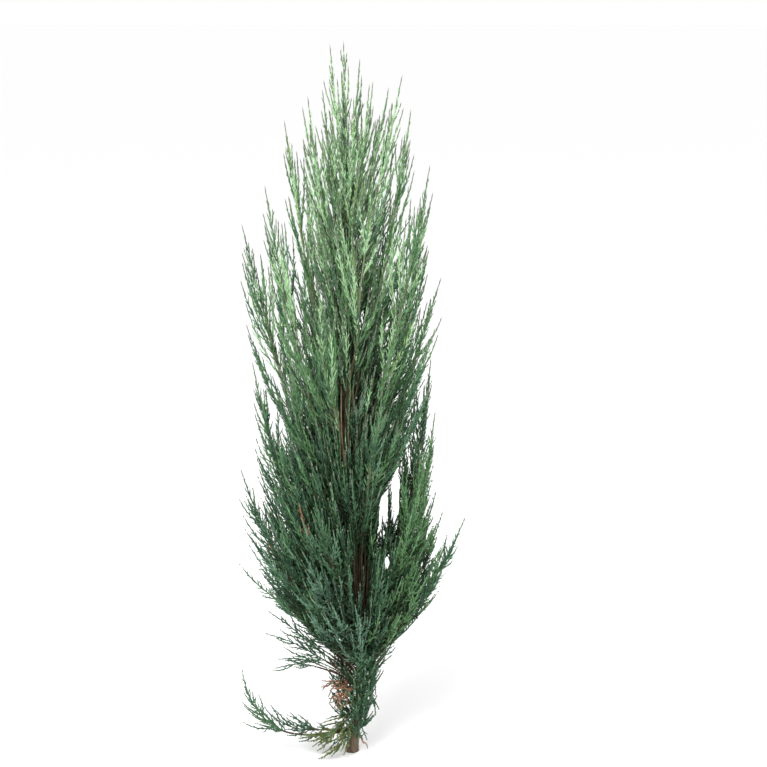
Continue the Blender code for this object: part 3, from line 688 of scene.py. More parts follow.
# Slender limbs that stand for no node, by family. Each family has a radius, bare share, spread,
# bow and lift. A row gives a limb's azimuth, foot, reach and top, and then as many of the others
# as it needs of its own.
FINE_LIMBS = (
    *family("crest", (0.0012, 0.10, 0.015, 0.50, 0.42),  # whips along the top
            (LEFT + 12, 0.800, 0.0245, 1.011, 0.0011, 0.10, 0.012, 0.50, 0.45),
            (RIGHT - 25, 0.790, 0.0170, 0.993, 0.0011, 0.10, 0.012, 0.50, 0.45),
            (RIGHT - 48, 0.700, 0.0420, 0.961), (RIGHT + 20, 0.690, 0.0570, 0.955),
            (LEFT + 40, 0.720, 0.0440, 0.954),
            (LEFT - 14, 0.640, 0.0640, 0.930, 0.0013, 0.10, 0.018, 0.54, 0.40),
            (BACK + 15, 0.700, 0.0400, 0.975), (FRONT + 10, 0.690, 0.0450, 0.945, 0.0012, 0.10, 0.016),
            (LEFT + 62, 0.740, 0.0300, 0.968, 0.0011, 0.10, 0.013),
            (FRONT + 40, 0.760, 0.0280, 0.972, 0.0011, 0.10, 0.013), (RIGHT - 8, 0.720, 0.0520, 0.940),
            (FRONT, 0.800, 0.0110, 0.985, 0.0010, 0.05, 0.012, 0.60),
            (FRONT + 25, 0.690, 0.0200, 0.930, 0.0011, 0.05, 0.014, 0.60),
            (FRONT - 30, 0.640, 0.0220, 0.880, 0.0011, 0.05, 0.014, 0.60)),
    *family("beside", (0.0014, 0.10, 0.024, 0.50, 0.42),  # inner limbs round the gap on the right
            (RIGHT - 30, 0.118, 0.066, 0.300, 0.0015, 0.14, 0.024, 0.60),
            (RIGHT + 4, 0.130, 0.060, 0.312, 0.0015, 0.14, 0.024, 0.60),
            (RIGHT + 34, 0.140, 0.070, 0.320, 0.0015, 0.14, 0.024, 0.60),
            (RIGHT - 26, 0.300, 0.074, 0.510, 0.0015, 0.10, 0.026), (RIGHT + 8, 0.345, 0.070, 0.520),
            (RIGHT + 32, 0.330, 0.078, 0.505), (RIGHT - 10, 0.370, 0.080, 0.560)),
    *family("right_side", (0.0018, 0.16, 0.030, 0.70, 0.32),  # the crown's right side
            (RIGHT - 13, 0.140, 0.120, 0.520), (RIGHT + 16, 0.150, 0.112, 0.500),
            (RIGHT - 26, 0.150, 0.112, 0.450, 0.0017, 0.16, 0.028, 0.70, 0.34),
            (RIGHT - 8, 0.125, 0.130, 0.372, 0.0018, 0.20, 0.026, 0.58, 0.36),
            (RIGHT + 9, 0.130, 0.122, 0.390, 0.0018, 0.20, 0.026, 0.58, 0.36),
            (RIGHT - 30, 0.118, 0.104, 0.320, 0.0016, 0.20, 0.024, 0.56, 0.38),
            (RIGHT + 2, 0.116, 0.084, 0.290, 0.0016, 0.24, 0.022, 0.56, 0.40)),
    *family("left_side", (0.0018, 0.16, 0.030, 0.64, 0.34),  # the crown's left side
            (LEFT + 9, 0.180, 0.120, 0.520, 0.0018, 0.16, 0.030, 0.64, 0.32),
            (LEFT - 7, 0.150, 0.130, 0.425), (LEFT + 27, 0.150, 0.126, 0.385),
            (LEFT - 21, 0.150, 0.126, 0.360),
            (LEFT + 4, 0.126, 0.122, 0.276, 0.0016, 0.22, 0.026, 0.62, 0.40)),
    *family("pale", (0.0019, 0.76, 0.016, 0.90, 0.30),  # the bare stem in the dark slit
            (FRONT - 20, 0.310, 0.036, 0.640)),
    *family("accent", (0.0012, 0.45, 0.014, 0.75, 0.35),  # single feathers by the slit and the gap
            (FRONT + 24, 0.430, 0.062, 0.580, 0.0014, 0.20, 0.016, 0.55, 0.40),
            (RIGHT + 4, 0.200, 0.058, 0.396),
            (FRONT - 30, 0.140, 0.125, 0.346, 0.0017, 0.12, 0.024, 0.52, 0.48)),
    *family("behind", (0.0014, 0.06, 0.030, 0.60, 0.36),  # what closes the gap from behind
            (BACK - 24, 0.330, 0.058, 0.640), (BACK + 4, 0.380, 0.050, 0.690),
            (BACK + 26, 0.340, 0.056, 0.610), (BACK - 10, 0.260, 0.070, 0.560),
            (BACK - 40, 0.300, 0.062, 0.600), (BACK - 14, 0.450, 0.046, 0.740, 0.0014, 0.06, 0.028)),
    *family("left_fill", (0.0016, 0.08, 0.030, 0.62, 0.34),  # inner limbs on the left
            (LEFT + 14, 0.200, 0.096, 0.520), (LEFT - 16, 0.220, 0.088, 0.505),
            (LEFT + 34, 0.180, 0.100, 0.465), (LEFT - 30, 0.170, 0.094, 0.470),
            (LEFT + 22, 0.280, 0.090, 0.600, 0.0015)),
    *family("feather", (0.0014, 0.14, 0.022, 0.60, 0.40),  # feathers before the crown's foot
            (FRONT - 52, 0.128, 0.088, 0.300, 0.0015, 0.20, 0.022, 0.50, 0.42),
            (FRONT - 18, 0.140, 0.074, 0.330, 0.0015, 0.16, 0.022, 0.55, 0.42),
            (FRONT + 12, 0.110, 0.066, 0.285), (FRONT + 40, 0.125, 0.070, 0.300)),
    *family("fork", (0.0014, 0.42, 0.024, 0.58, 0.50),  # open brown forks low on the left
            (LEFT + 10, 0.112, 0.098, 0.258, 0.0015, 0.34, 0.028, 0.56, 0.52),
            (LEFT - 4, 0.104, 0.120, 0.214, 0.0014, 0.40, 0.028, 0.58, 0.62),
            (LEFT + 24, 0.120, 0.088, 0.225, 0.0013, 0.30, 0.028, 0.56, 0.55),
            (LEFT + 6, 0.094, 0.106, 0.148, 0.0012, 0.46, 0.024, 0.50, 1.10),
            (LEFT + 14, 0.108, 0.082, 0.182, 0.0013, 0.36, 0.026, 0.54, 0.70),
            (LEFT - 12, 0.118, 0.110, 0.236, 0.0013, 0.38, 0.026, 0.56, 0.58),
            (LEFT + 2, 0.125, 0.124, 0.272), (LEFT + 20, 0.130, 0.116, 0.262, 0.0013),
            (LEFT - 14, 0.126, 0.120, 0.284)),
    *family("scrap", (0.0011, 0.42, 0.018, 0.55, 0.50),  # short open twigs round the crown's foot
            (RIGHT - 14, 0.108, 0.060, 0.156, 0.0010, 0.40, 0.014, 0.55, 0.55),
            (RIGHT - 30, 0.096, 0.066, 0.190, 0.0011, 0.34, 0.016), (RIGHT - 20, 0.126, 0.086, 0.214),
            (RIGHT - 8, 0.134, 0.098, 0.246, 0.0011, 0.46),
            (RIGHT - 28, 0.150, 0.112, 0.286, 0.0012, 0.50, 0.018, 0.58, 0.48),
            (LEFT + 16, 0.116, 0.088, 0.196, 0.0011, 0.36, 0.020, 0.55, 0.62),
            (LEFT + 30, 0.100, 0.092, 0.168, 0.0011, 0.38, 0.018, 0.55, 0.80),
            (LEFT + 2, 0.128, 0.104, 0.244, 0.0012, 0.36, 0.020, 0.56, 0.55),
            (LEFT + 38, 0.130, 0.080, 0.212, 0.0011, 0.34, 0.020, 0.56, 0.55)),
    *family("sprig", (0.0009, 0.20, 0.018, 0.70, 0.60),  # the olive sprig at the foot
            (LEFT + 24, 0.042, 0.084, 0.036, 0.0009, 0.30, 0.016, 0.60, 2.20),
            (LEFT + 40, 0.050, 0.060, 0.022, 0.0009, 0.20, 0.018, 0.70, 1.00),
            (LEFT + 30, 0.070, 0.056, 0.020),
            (LEFT + 56, 0.060, 0.046, 0.014, 0.0009, 0.20, 0.018, 0.75, 0.70),
            (LEFT + 14, 0.040, 0.076, 0.030, 0.0010, 0.30, 0.016, 0.60, 1.60),
            (LEFT + 46, 0.046, 0.066, 0.012, 0.0009, 0.20, 0.018, 0.75, 1.30),
            (LEFT + 20, 0.060, 0.062, 0.016, 0.0009, 0.20, 0.018, 0.75, 0.90)),
    *family("creeper", (0.0010, 0.30, 0.018, 0.80, -0.20),  # shoots along the ground
            (LEFT + 6, 0.034, 0.096, 0.058),
            (LEFT + 13, 0.036, 0.128, 0.084, 0.0011, 0.36, 0.018, 0.84, -0.10)),
    *family("droop", (0.0010, 0.12, 0.014, 0.80, -0.10),  # fronds that hang before the trunk
            (FRONT + 56, 0.150, 0.042, 0.098, 0.0010, 0.12, 0.014, 0.80, -0.50),
            (FRONT + 66, 0.110, 0.038, 0.062),
            (FRONT + 20, 0.100, 0.030, 0.030, 0.0010, 0.12, 0.014, 0.80, 0.20)),
    *family("dead", (0.0008, 0.25, 0.012, 0.80, 0.30),  # red-brown dead scraps
            (LEFT + 36, 0.100, 0.040, 0.084, 0.0008, 0.25, 0.014, 0.80, -0.60),
            (LEFT + 60, 0.086, 0.036, 0.066, 0.0008, 0.25, 0.014, 0.80, -0.40),
            (LEFT + 16, 0.108, 0.044, 0.100, 0.0008, 0.25, 0.014, 0.80, -1.60),
            (FRONT + 50, 0.030, 0.030, 0.012),
            (LEFT + 48, 0.094, 0.030, 0.074, 0.0008, 0.25, 0.014, 0.80, -1.00),
            (LEFT + 28, 0.104, 0.038, 0.092, 0.0008, 0.25, 0.014, 0.80, -1.40),
            (FRONT - 46, 0.220, 0.096, 0.402, 0.0009, 0.74, 0.008, 0.74, 0.28),
            (LEFT + 72, 0.100, 0.026, 0.080, 0.0008, 0.25, 0.014, 0.80, -0.80)),
)


@dataclass(frozen=True)
class FootFronds:
    """Short fronds that clothe the lowest stretch of the trunk.

    Each pair of values runs from the lowest to the highest.
    """

    name: str
    count: int
    foot: Pair
    rise: Pair
    reach: Pair
    azimuth: Pair
    radius: float = 0.0011
    spread: float = 0.020
    bare: float = 0.08
    bow: float = 0.62
    lift: float = 0.40
    first_side: float = 0.3  # where the lowest stands, as a share of the way round

    def limbs(self) -> list[Limb]:
        """The fronds, spread round by a share that jumps from side to side.

        Returns:
            The fronds, the lowest first.
        """
        made = []
        for number in range(self.count):
            share = number / (self.count - 1)
            side = (self.first_side + number * GOLDEN_SHARE) % 1.0
            foot = between(self.foot, share)
            top = foot + self.rise[0] + (self.rise[1] - self.rise[0]) * share
            made.append(Limb(f"{self.name}_{number + 1}", between(self.azimuth, side), foot,
                             between(self.reach, share), top, self.radius, self.bare, self.spread,
                             self.bow, self.lift))
        return made


FOOT_FRONDS = (
    FootFronds("frond", 26, (0.010, 0.175), (0.060, 0.140), (0.030, 0.056),
               (FRONT + 5.0, FRONT + 115.0)),
    # Fronds low on the trunk's left, given the dark green of painted shade.
    FootFronds("dry", 12, (0.008, 0.100), (0.035, 0.075), (0.017, 0.032),
               (LEFT - 25.0, LEFT + 85.0), spread=0.016),
    FootFronds("rear", 9, (0.020, 0.160), (0.050, 0.120), (0.024, 0.048),
               (BACK - 55.0, BACK + 70.0)),
)


@dataclass(frozen=True)
class Boughs:
    """The bare limbs between the trunk and the plumes, joined in one skin.

    Attributes:
        rings: Rings along a bough.
        sides: Corners of a ring.
        collar: How much wider a bough is where it leaves the trunk, as a share.
        collar_length: How far that reaches, as a share of the limb.
        relief: Depth of the bark's relief, as a share of the radius.
        climb: How much faster than on the trunk the relief changes with height.
        across: The direction that a ring's corners are counted from.
    """

    rings: int = 64
    sides: int = 14
    collar: float = 0.45
    collar_length: float = 0.025
    relief: float = 0.08
    climb: float = 1.6
    across: Triple = (0.0, 1.0, 0.2)

    def build(self, limbs: list[Limb]) -> bpy.types.Object:
        """Carries a ring with relief along each bough, and joins them.

        The relief is the trunk's, a little turned on each bough.

        Args:
            limbs: All limbs of the tree.

        Returns:
            The skin of all boughs.
        """
        parts = []
        turn = 2 * math.pi * np.arange(self.sides) / self.sides
        for number, limb in enumerate(limbs):
            if limb.bare == 0:
                continue
            path = limb.path(TRUNK, PATH_SAMPLES)
            share = np.linspace(0.0, limb.bare, self.rings + 1)
            points = read_path(path, np.arange(PATH_SAMPLES), share * (PATH_SAMPLES - 1))
            share = share[:-1]
            girth = limb.girth(share) * (1.0 + self.collar * np.exp(-share / self.collar_length))
            relief = self.relief * TRUNK.bark(turn[None, :] / 2 + number,
                                              points[:-1, 2:3] * self.climb)
            radii = girth[:, None] * (1.0 - self.relief / 2 + relief)
            parts.append(tube_arrays(points[None], radii[None], np.array([self.across]),
                                     self.sides, 0.0))
        return new_piece("boughs_bark", joined(parts), BOUGH_BARK.material(), True)

    def dress(self, piece: bpy.types.Object, limbs: list[Limb]) -> None:
        """Puts the skin in the place of every bough's node."""
        place_piece(piece, ["bough_" + limb.name for limb in limbs if limb.bare > 0])


# ---------------------------------------------------------------- growth


@dataclass
class Axes:
    """A batch of thin axes of one order, each a row of points from its root to its tip.

    Attributes:
        points: Axes by samples by 3.
        across: A direction to one side of each, in the plane of its spray.
        length: Length of each.
        plume: Number of the plume that each belongs to.
        tone: Number of each one's tone.
        thick: Radius at each one's root.
    """

    points: np.ndarray
    across: np.ndarray
    length: np.ndarray
    plume: np.ndarray
    tone: np.ndarray
    thick: np.ndarray

    def sample(self, axis: np.ndarray, share: np.ndarray) -> tuple[np.ndarray, np.ndarray]:
        """Points on axes, and the directions there.

        Args:
            axis: Number of the axis of each point.
            share: Share of its length from the root.

        Returns:
            The points and the unit directions.
        """
        last = self.points.shape[1] - 1
        place = np.clip(share, 0.0, 1.0) * last
        low = np.minimum(place.astype(int), last - 1)
        here, there = self.points[axis, low], self.points[axis, low + 1]
        return here + (there - here) * (place - low)[:, None], unit(there - here)

    def stretch(self, start: np.ndarray, end: np.ndarray, samples: int) -> np.ndarray:
        """Points along part of every axis.

        Args:
            start: Share of the length where each part starts.
            end: Share where it ends.
            samples: How many points a part has.

        Returns:
            Axes by samples by 3.
        """
        steps = np.linspace(0.0, 1.0, samples)[None, :]
        share = start[:, None] + (end - start)[:, None] * steps
        axis = np.repeat(np.arange(len(self.length)), samples)
        return self.sample(axis, share.ravel())[0].reshape(-1, samples, 3)

    def chosen(self, which: np.ndarray) -> "Axes":
        """The axes that a mask, a list of numbers or a slice picks."""
        return Axes(self.points[which], self.across[which], self.length[which],
                    self.plume[which], self.tone[which], self.thick[which])

    @staticmethod
    def together(batches: list["Axes"]) -> "Axes":
        """Several batches with the same number of samples as one."""
        return Axes(*(np.concatenate([getattr(batch, name) for batch in batches])
                      for name in ("points", "across", "length", "plume", "tone", "thick")))


@dataclass(frozen=True)
class Opening:
    """A gap in the foliage, an oval seen from the front, that falls towards the back.

    Attributes:
        right: Its middle, to the right of the tree's axis, at the trunk's depth.
        up: Its middle's height there.
        half_width: Half its width.
        half_height: Half its height.
        fall: How far it drops for each metre towards the back.
        front_only: Whether it ends at the trunk.
        edge_waves: Radians of the edge's quick wave for each metre to the right and up.
        slow_wave: The slow wave's radians, as a share of the quick one's.
        edge_shares: The edge's middle and both waves' heights, as shares of the oval.
    """

    right: float
    up: float
    half_width: float
    half_height: float
    fall: float
    front_only: bool
    edge_waves: Pair = (240.0, 650.0)
    slow_wave: float = 0.37
    edge_shares: Triple = (0.75, 0.17, 0.13)

    def holds(self, points: np.ndarray) -> np.ndarray:
        """Whether points lie in the opening, whose edge is ragged.

        Args:
            points: Points by 3.

        Returns:
            True for each that does.
        """
        across = (points[:, 0] - self.right) / self.half_width
        up = (points[:, 2] + self.fall * points[:, 1] - self.up) / self.half_height
        wave = points[:, 2] * self.edge_waves[1] + points[:, 0] * self.edge_waves[0]
        middle, quick, slow = self.edge_shares
        ragged = middle + quick * np.sin(wave) + slow * np.sin(self.slow_wave * wave + 1.0)
        inside = across**2 + up**2 < ragged**2
        return inside & (points[:, 1] < 0.0) if self.front_only else inside


OPENINGS = (
    Opening(0.0465, 0.368, 0.0070, 0.033, 0.327, False),
    Opening(0.0640, 0.386, 0.0052, 0.045, 0.320, False),
    Opening(0.0515, 0.294, 0.0045, 0.009, 0.360, False),
    Opening(0.0176, 0.679, 0.0050, 0.055, 0.18, True),
    Opening(0.0060, 0.515, 0.0130, 0.058, 0.26, True),
    Opening(-0.0110, 0.495, 0.0045, 0.072, 0.27, True),
    Opening(0.0145, 0.266, 0.0120, 0.058, 0.39, True),
)


class Crowding:
    """How full the crown is: counts of leader points in cubic cells, shared with neighbours."""

    cell = 0.008
    low = np.array((-0.19, -0.19, -0.02))
    shape = (48, 48, 134)
    step = 0.005  # from one counted point to the next

    def __init__(self) -> None:
        """Starts with no points."""
        self.count = np.zeros(self.shape)
        self.spread = self.count

    def cells(self, points: np.ndarray) -> np.ndarray:
        """Number of the cell that holds each point.

        Args:
            points: Any array whose last axis is x, y, z.

        Returns:
            The numbers in one row.
        """
        index = np.floor((points - self.low) / self.cell).astype(int)
        index = np.clip(index, 0, np.array(self.shape) - 1)
        return np.ravel_multi_index(tuple(index.reshape(-1, 3).T), self.shape)

    def add(self, points: np.ndarray, weights: np.ndarray) -> None:
        """Counts points, and averages each cell with its neighbours: 1, 2, 1 on each axis.

        Args:
            points: Any array whose last axis is x, y, z.
            weights: How much each counts.
        """
        size = int(np.prod(self.shape))
        self.count += np.bincount(self.cells(points), weights.ravel(), size).reshape(self.shape)
        spread = self.count
        for axis in range(3):
            beside = np.roll(spread, 1, axis) + np.roll(spread, -1, axis)
            spread = 0.5 * spread + 0.25 * beside
        self.spread = spread

    def at(self, points: np.ndarray) -> np.ndarray:
        """The averaged count round each point."""
        return self.spread.ravel()[self.cells(points)].reshape(points.shape[:-1])


class Room:
    """The room that shoots keep to.

    A named plume keeps its own space among the named ones. Fine limbs share what is left.
    """

    step = 0.006  # from one site down a stem or limb to the next
    fewest = 8  # sites of a limb at least
    space_gap = 0.0005
    limb_gap = 0.0007
    ground_gap = 0.0010
    tip_slack = 0.003
    least_reach = 0.027
    wood_margin = 0.016
    # Limbs that the skirt doesn't bound, and those that may cross openings, by how a name starts.
    outside_skirt = ("left_ground", "left_spray", "left_tuft", "right_twigs", "fork", "scrap",
                     "creeper")
    in_openings = ("accent", "pale")

    def __init__(self, limbs: list[Limb], paths: list[np.ndarray], named: int) -> None:
        """Keeps the stems' points, and points down the trunk and boughs with their radii.

        Args:
            limbs: All limbs, the named ones first.
            paths: The path of each.
            named: How many are named.
        """
        self.named = named
        height = np.arange(0.0, TRUNK.top, self.step)
        woods, girths = [TRUNK.centre(height)], [TRUNK.girth(height)]
        stems, owner = [], []
        for number, (limb, path) in enumerate(zip(limbs, paths)):
            share = np.linspace(0.0, 1.0, max(int(path_length(path) / self.step), self.fewest))
            even = read_path(path, np.arange(len(path)), share * (len(path) - 1))
            stems.append(even[share >= limb.bare])
            owner.append(np.full(len(stems[-1]), number))
            if limb.bare > 0:
                woods.append(even[share < limb.bare])
                girths.append(limb.girth(share[share < limb.bare]))
        self.stems, self.owner = np.concatenate(stems), np.concatenate(owner)
        self.woods, self.girths = np.concatenate(woods), np.concatenate(girths)
        self.reach = np.array([max(limb.reach + self.tip_slack, self.least_reach)
                               for limb in limbs])
        self.top = np.array([path[:, 2].max() + self.tip_slack for path in paths])
        self.skirted = np.array([not limb.name.startswith(self.outside_skirt) for limb in limbs])
        self.bound = np.array([not limb.name.startswith(self.in_openings) for limb in limbs])

    @staticmethod
    def gaps(points: np.ndarray, sites: np.ndarray) -> np.ndarray:
        """Distance from each point to each site, from the squares of both and their product."""
        squares = (points**2).sum(1)[:, None] + (sites**2).sum(1)[None, :] - 2 * points @ sites.T
        return np.sqrt(np.maximum(squares, 0.0))

    def nearest(self, points: np.ndarray) -> np.ndarray:
        """Number of the plume whose stem is nearest to each point."""
        return self.owner[self.gaps(points, self.stems).argmin(axis=1)]

    def apart(self, points: np.ndarray, number: int) -> np.ndarray:
        """Whether points are nearer to their own stem than to other named plumes' stems.

        Args:
            points: Points of one named plume, by 3.
            number: Number of the plume.

        Returns:
            True for each that is.
        """
        own = self.gaps(points, self.stems[self.owner == number]).min(axis=1)
        margin = own.max() + 2 * self.space_gap
        low, high = points.min(axis=0) - margin, points.max(axis=0) + margin
        near = np.all((self.stems > low) & (self.stems < high), axis=1)
        near &= (self.owner != number) & (self.owner < self.named)
        if not near.any():
            return np.ones(len(points), bool)
        other = self.gaps(points, self.stems[near]).min(axis=1)
        return other - own > 2 * self.space_gap

    def off_limbs(self, points: np.ndarray) -> np.ndarray:
        """Whether points are clear of the trunk and the bare limbs.

        Args:
            points: Points by 3.

        Returns:
            True for each that is.
        """
        low, high = points.min(axis=0) - self.wood_margin, points.max(axis=0) + self.wood_margin
        near = np.all((self.woods > low) & (self.woods < high), axis=1)
        if not near.any():
            return np.ones(len(points), bool)
        free = (self.gaps(points, self.woods[near]) - self.girths[near][None, :]).min(axis=1)
        return free > self.limb_gap

    def keeps(self, points: np.ndarray, plume: np.ndarray) -> np.ndarray:
        """Whether points lie in their plume's room.

        Args:
            points: Points by 3.
            plume: Number of each point's plume.

        Returns:
            True for each that does.
        """
        outward = np.hypot(points[:, 0], points[:, 1])
        own, limit = self.reach[plume], shared_reach(points[:, 2])
        limit = np.where(plume < self.named, own, np.maximum(own, limit))
        limit = np.where(self.skirted[plume], np.minimum(limit, skirt(points)), limit)
        kept = (outward < limit) & (points[:, 2] < self.top[plume])
        kept &= points[:, 2] > self.ground_gap
        for opening in OPENINGS:
            kept &= ~(opening.holds(points) & self.bound[plume])
        for number in np.unique(plume):
            mine = np.flatnonzero(kept & (plume == number))
            for start in range(0, len(mine), CHUNK):
                some = mine[start:start + CHUNK]
                kept[some] = self.off_limbs(points[some])
                if number < self.named:
                    kept[some] &= self.apart(points[some], number)
        return kept


@dataclass(frozen=True)
class ShootRule:
    """How one order of shoots leaves the axes that carry it.

    Attributes:
        spacing: From one shoot to the next.
        first: Length of the carrier below its first shoot.
        bare_tip: Length of the carrier above its last shoot.
        share: A shoot's length, as a share of the carrier's length beyond it.
        shortest: Least length.
        longest: Greatest length.
        angle: Degrees from the carrier at the root.
        bend: How far it turns back to the carrier's direction by its tip.
        rise: How far it turns up.
        flat: Degrees that shoots spread to either side of the spray's plane, or ALL_ROUND.
        samples: Points of its axis.
        tries: How many places round the carrier are tried for it.
        sunk: Samples at the root that may lie in the carrier.
        opens: How much of an open plume's bare foot the carriers have.
    """

    spacing: float
    first: float
    bare_tip: float
    share: float
    shortest: float
    longest: float
    angle: float
    bend: float
    rise: float
    flat: float
    samples: int
    tries: int = 3
    sunk: int = 1
    opens: float = 0.0


LEADERS = ShootRule(spacing=0.0095, first=0.002, bare_tip=0.055, share=0.78, shortest=0.030,
                    longest=0.190, angle=26.0, bend=0.75, rise=0.30, flat=ALL_ROUND, samples=26,
                    tries=10, opens=1.0)
TWIGS = ShootRule(spacing=0.0048, first=0.003, bare_tip=0.017, share=0.35, shortest=0.0050,
                  longest=0.032, angle=24.0, bend=0.50, rise=0.12, flat=ALL_ROUND, samples=7, tries=3,
                  opens=0.8)
TRUNK_TWIGS = ShootRule(spacing=0.0018, first=0.004, bare_tip=0.0, share=0.5, shortest=0.015,
                        longest=0.040, angle=28.0, bend=0.70, rise=0.30, flat=ALL_ROUND, samples=7,
                        tries=4, sunk=3)
BRANCHLETS = ShootRule(spacing=0.0044, first=0.0030, bare_tip=0.0020, share=0.55, shortest=0.0042,
                       longest=0.011, angle=26.0, bend=0.45, rise=0.10, flat=50.0, samples=4,
                       tries=2)


class Crown:
    """Grows every plume's shoots and deals their tones out by spray."""

    tones = tuple(Tone)
    # Lighter tones are dealt higher up and darker ones lower down: partly the foliage's own colours,
    # and partly painted light, the top lighter and the lower crown darker as the light falls.
    heights = (0.18, 0.48, 0.65, 0.78, 0.95)  # where each tone's weights hold
    weights = {
        Tone.GLAUCOUS: (0.06, 0.08, 0.06, 0.06, 0.02),
        Tone.TEAL: (0.65, 0.27, 0.08, 0.01, 0.00),
        Tone.BLUE_GREEN: (0.26, 0.42, 0.25, 0.10, 0.02),
        Tone.MID_GREEN: (0.03, 0.23, 0.50, 0.37, 0.14),
        Tone.LIGHT_GREEN: (0.0, 0.0, 0.10, 0.44, 0.78),
        Tone.YELLOW_GREEN: (0.002, 0.006, 0.01, 0.03, 0.08),
        Tone.DEAD: (0.001, 0.001, 0.0, 0.0, 0.0),
    }
    size_range = (0.75, 1.18)
    lean_range = (0.7, 1.3)
    wobble = 0.35  # how far a shoot strays from its even place, in spacings
    try_shrink = 0.90
    least_shrink = 0.6  # in shortest lengths
    bare_share = 0.35  # greatest share of a carrier that its rule's bare tip takes
    tip_share = 0.5  # share of the bare tip that doesn't count for a shoot's length
    rounds = 12  # of leaders, each after the crowding of those before it is counted
    crowded_at = 0.7  # share of a leader's length above its root where its limit is read
    second_length = 0.6  # a leader's length in its second half of tries, as a share
    second_cost = 0.25  # in crowding
    # By height: the crowding at which no leader is added, how wide shoots stand off, and how long
    # twigs may be.
    full = ((0.10, 0.16, 0.26, 0.70, 0.80, 0.90, 0.97), (0.8, 0.8, 1.5, 1.4, 0.9, 0.50, 0.25))
    slim = ((0.15, 0.32, 0.50, 0.90), (1.50, 1.32, 0.98, 0.70))
    twig_lengths = ((0.15, 0.32, 0.50, 0.90), (0.032, 0.026, 0.0185, 0.0100))
    leader_reach = 4.8  # a leader's greatest length, in half widths of its plume
    clothed_from = 0.36  # height where the trunk's own twigs start
    shaded_inside = (0.62, 0.05)  # share of the crown's reach within which foliage gets painted shade
    shaded_heights = (0.35, 0.82)
    shaded_above = 0.17
    shade_scatter = 0.10
    least_reach = 0.045  # that depth is measured by
    # Pockets of painted shade: how much further out foliage is painted dark where a product of two
    # sines is above nought, and the height where they stop.
    shade_pocket_depth = 0.34
    shade_pocket_top = 0.52
    shade_pocket_right = (78.0, 20.0)  # radians for each metre to the right and up
    shade_pocket_up = (46.0, 30.0)  # radians for each metre up and back
    shade_pocket_phase = 1.3
    keep_tone = 0.7  # share of the twigs that keep their leader's tone
    own_share = 0.8  # share of a kind's shoots that get the kind's own tone
    shaded_leafy = 0.25  # share of the dark twigs that bear branchlets
    bare_foot = {"left_spray": 0.30, "left_tuft": 0.22, "right_twigs": 0.40, "fork": 0.38,
                 "scrap": 0.45, "left_ground": 0.08, "creeper": 0.08}
    open_from = 0.2  # bare foot from which a plume counts as open
    thinned = 0.75  # share of the leaders that open plumes have
    # The fronds low on the trunk's left get the shaded tone, which is painted shade.
    tone_of = {"foot_tuft": Tone.TEAL, "front_feather": Tone.GLAUCOUS, "feather": Tone.GLAUCOUS,
               "frond": Tone.BLUE_GREEN, "droop": Tone.TEAL, "creeper": Tone.TEAL,
               "sprig": Tone.OLIVE, "dead": Tone.DEAD, "right_side": Tone.MID_GREEN,
               "pale": Tone.GLAUCOUS, "accent": Tone.GLAUCOUS, "dry": Tone.SHADED,
               "rear": Tone.TEAL, "left_ground": Tone.BLUE_GREEN}

    def __init__(self, limbs: list[Limb], named: int) -> None:
        """Lays out the stems.

        Args:
            limbs: All limbs of the tree, the named ones first.
            named: How many are named.
        """
        self.limbs = limbs
        self.chance = np.random.default_rng(SEED)
        self.paths = [limb.path(TRUNK, PATH_SAMPLES) for limb in limbs]
        self.room = Room(limbs, self.paths, named)
        self.crowding = Crowding()
        self.leader_reach_of = np.array([limb.spread for limb in limbs]) * self.leader_reach
        self.own_tone = np.array([self.tone_number(limb.name) for limb in limbs])
        self.open_foot = np.array([sum(share for start, share in self.bare_foot.items()
                                       if limb.name.startswith(start)) for limb in limbs] + [0.0])
        self.named = named
        self.stems = self.stem_axes()

    def tone_number(self, name: str) -> int:
        """Number of the tone that a limb's foliage has of its own.

        Args:
            name: The limb's name.

        Returns:
            The number, or -1 where it has none.
        """
        for start, tone in self.tone_of.items():
            if name.startswith(start):
                return self.tones.index(tone)
        return -1

    def whole_limbs(self) -> Axes:
        """The paths of all limbs as a batch.

        Returns:
            The batch, without tones and radii.
        """
        azimuth = np.radians([limb.azimuth for limb in self.limbs])
        across = np.stack((-np.sin(azimuth), np.cos(azimuth), np.zeros(len(azimuth))), axis=1)
        return Axes(np.stack(self.paths), across,
                    np.array([path_length(path) for path in self.paths]),
                    np.arange(len(self.limbs)), np.zeros(len(self.limbs), int),
                    np.zeros(len(self.limbs)))

    def stem_axes(self) -> Axes:
        """The plumes' stems: the stretch of each path beyond its bough.

        Returns:
            The stems as a batch.
        """
        whole = self.whole_limbs()
        bare = np.array([limb.bare for limb in self.limbs])
        points = whole.stretch(bare, np.ones(len(bare)), PATH_SAMPLES)
        thick = np.array([limb.girth(limb.bare) for limb in self.limbs])
        return Axes(points, whole.across, whole.length * (1 - bare), whole.plume,
                    self.deal(points[:, -1], whole.plume), thick)

    def trunk_axis(self) -> Axes:
        """The upper trunk as a carrier of twigs, which go to the plume they grow into.

        Returns:
            A batch of one.
        """
        points = TRUNK.centre(np.linspace(self.clothed_from, TRUNK.top, PATH_SAMPLES))[None]
        zero = np.zeros(1)
        return Axes(points, np.array([[0.0, 1.0, 0.0]]), zero + TRUNK.top - self.clothed_from,
                    np.array([-1]), zero.astype(int), zero)

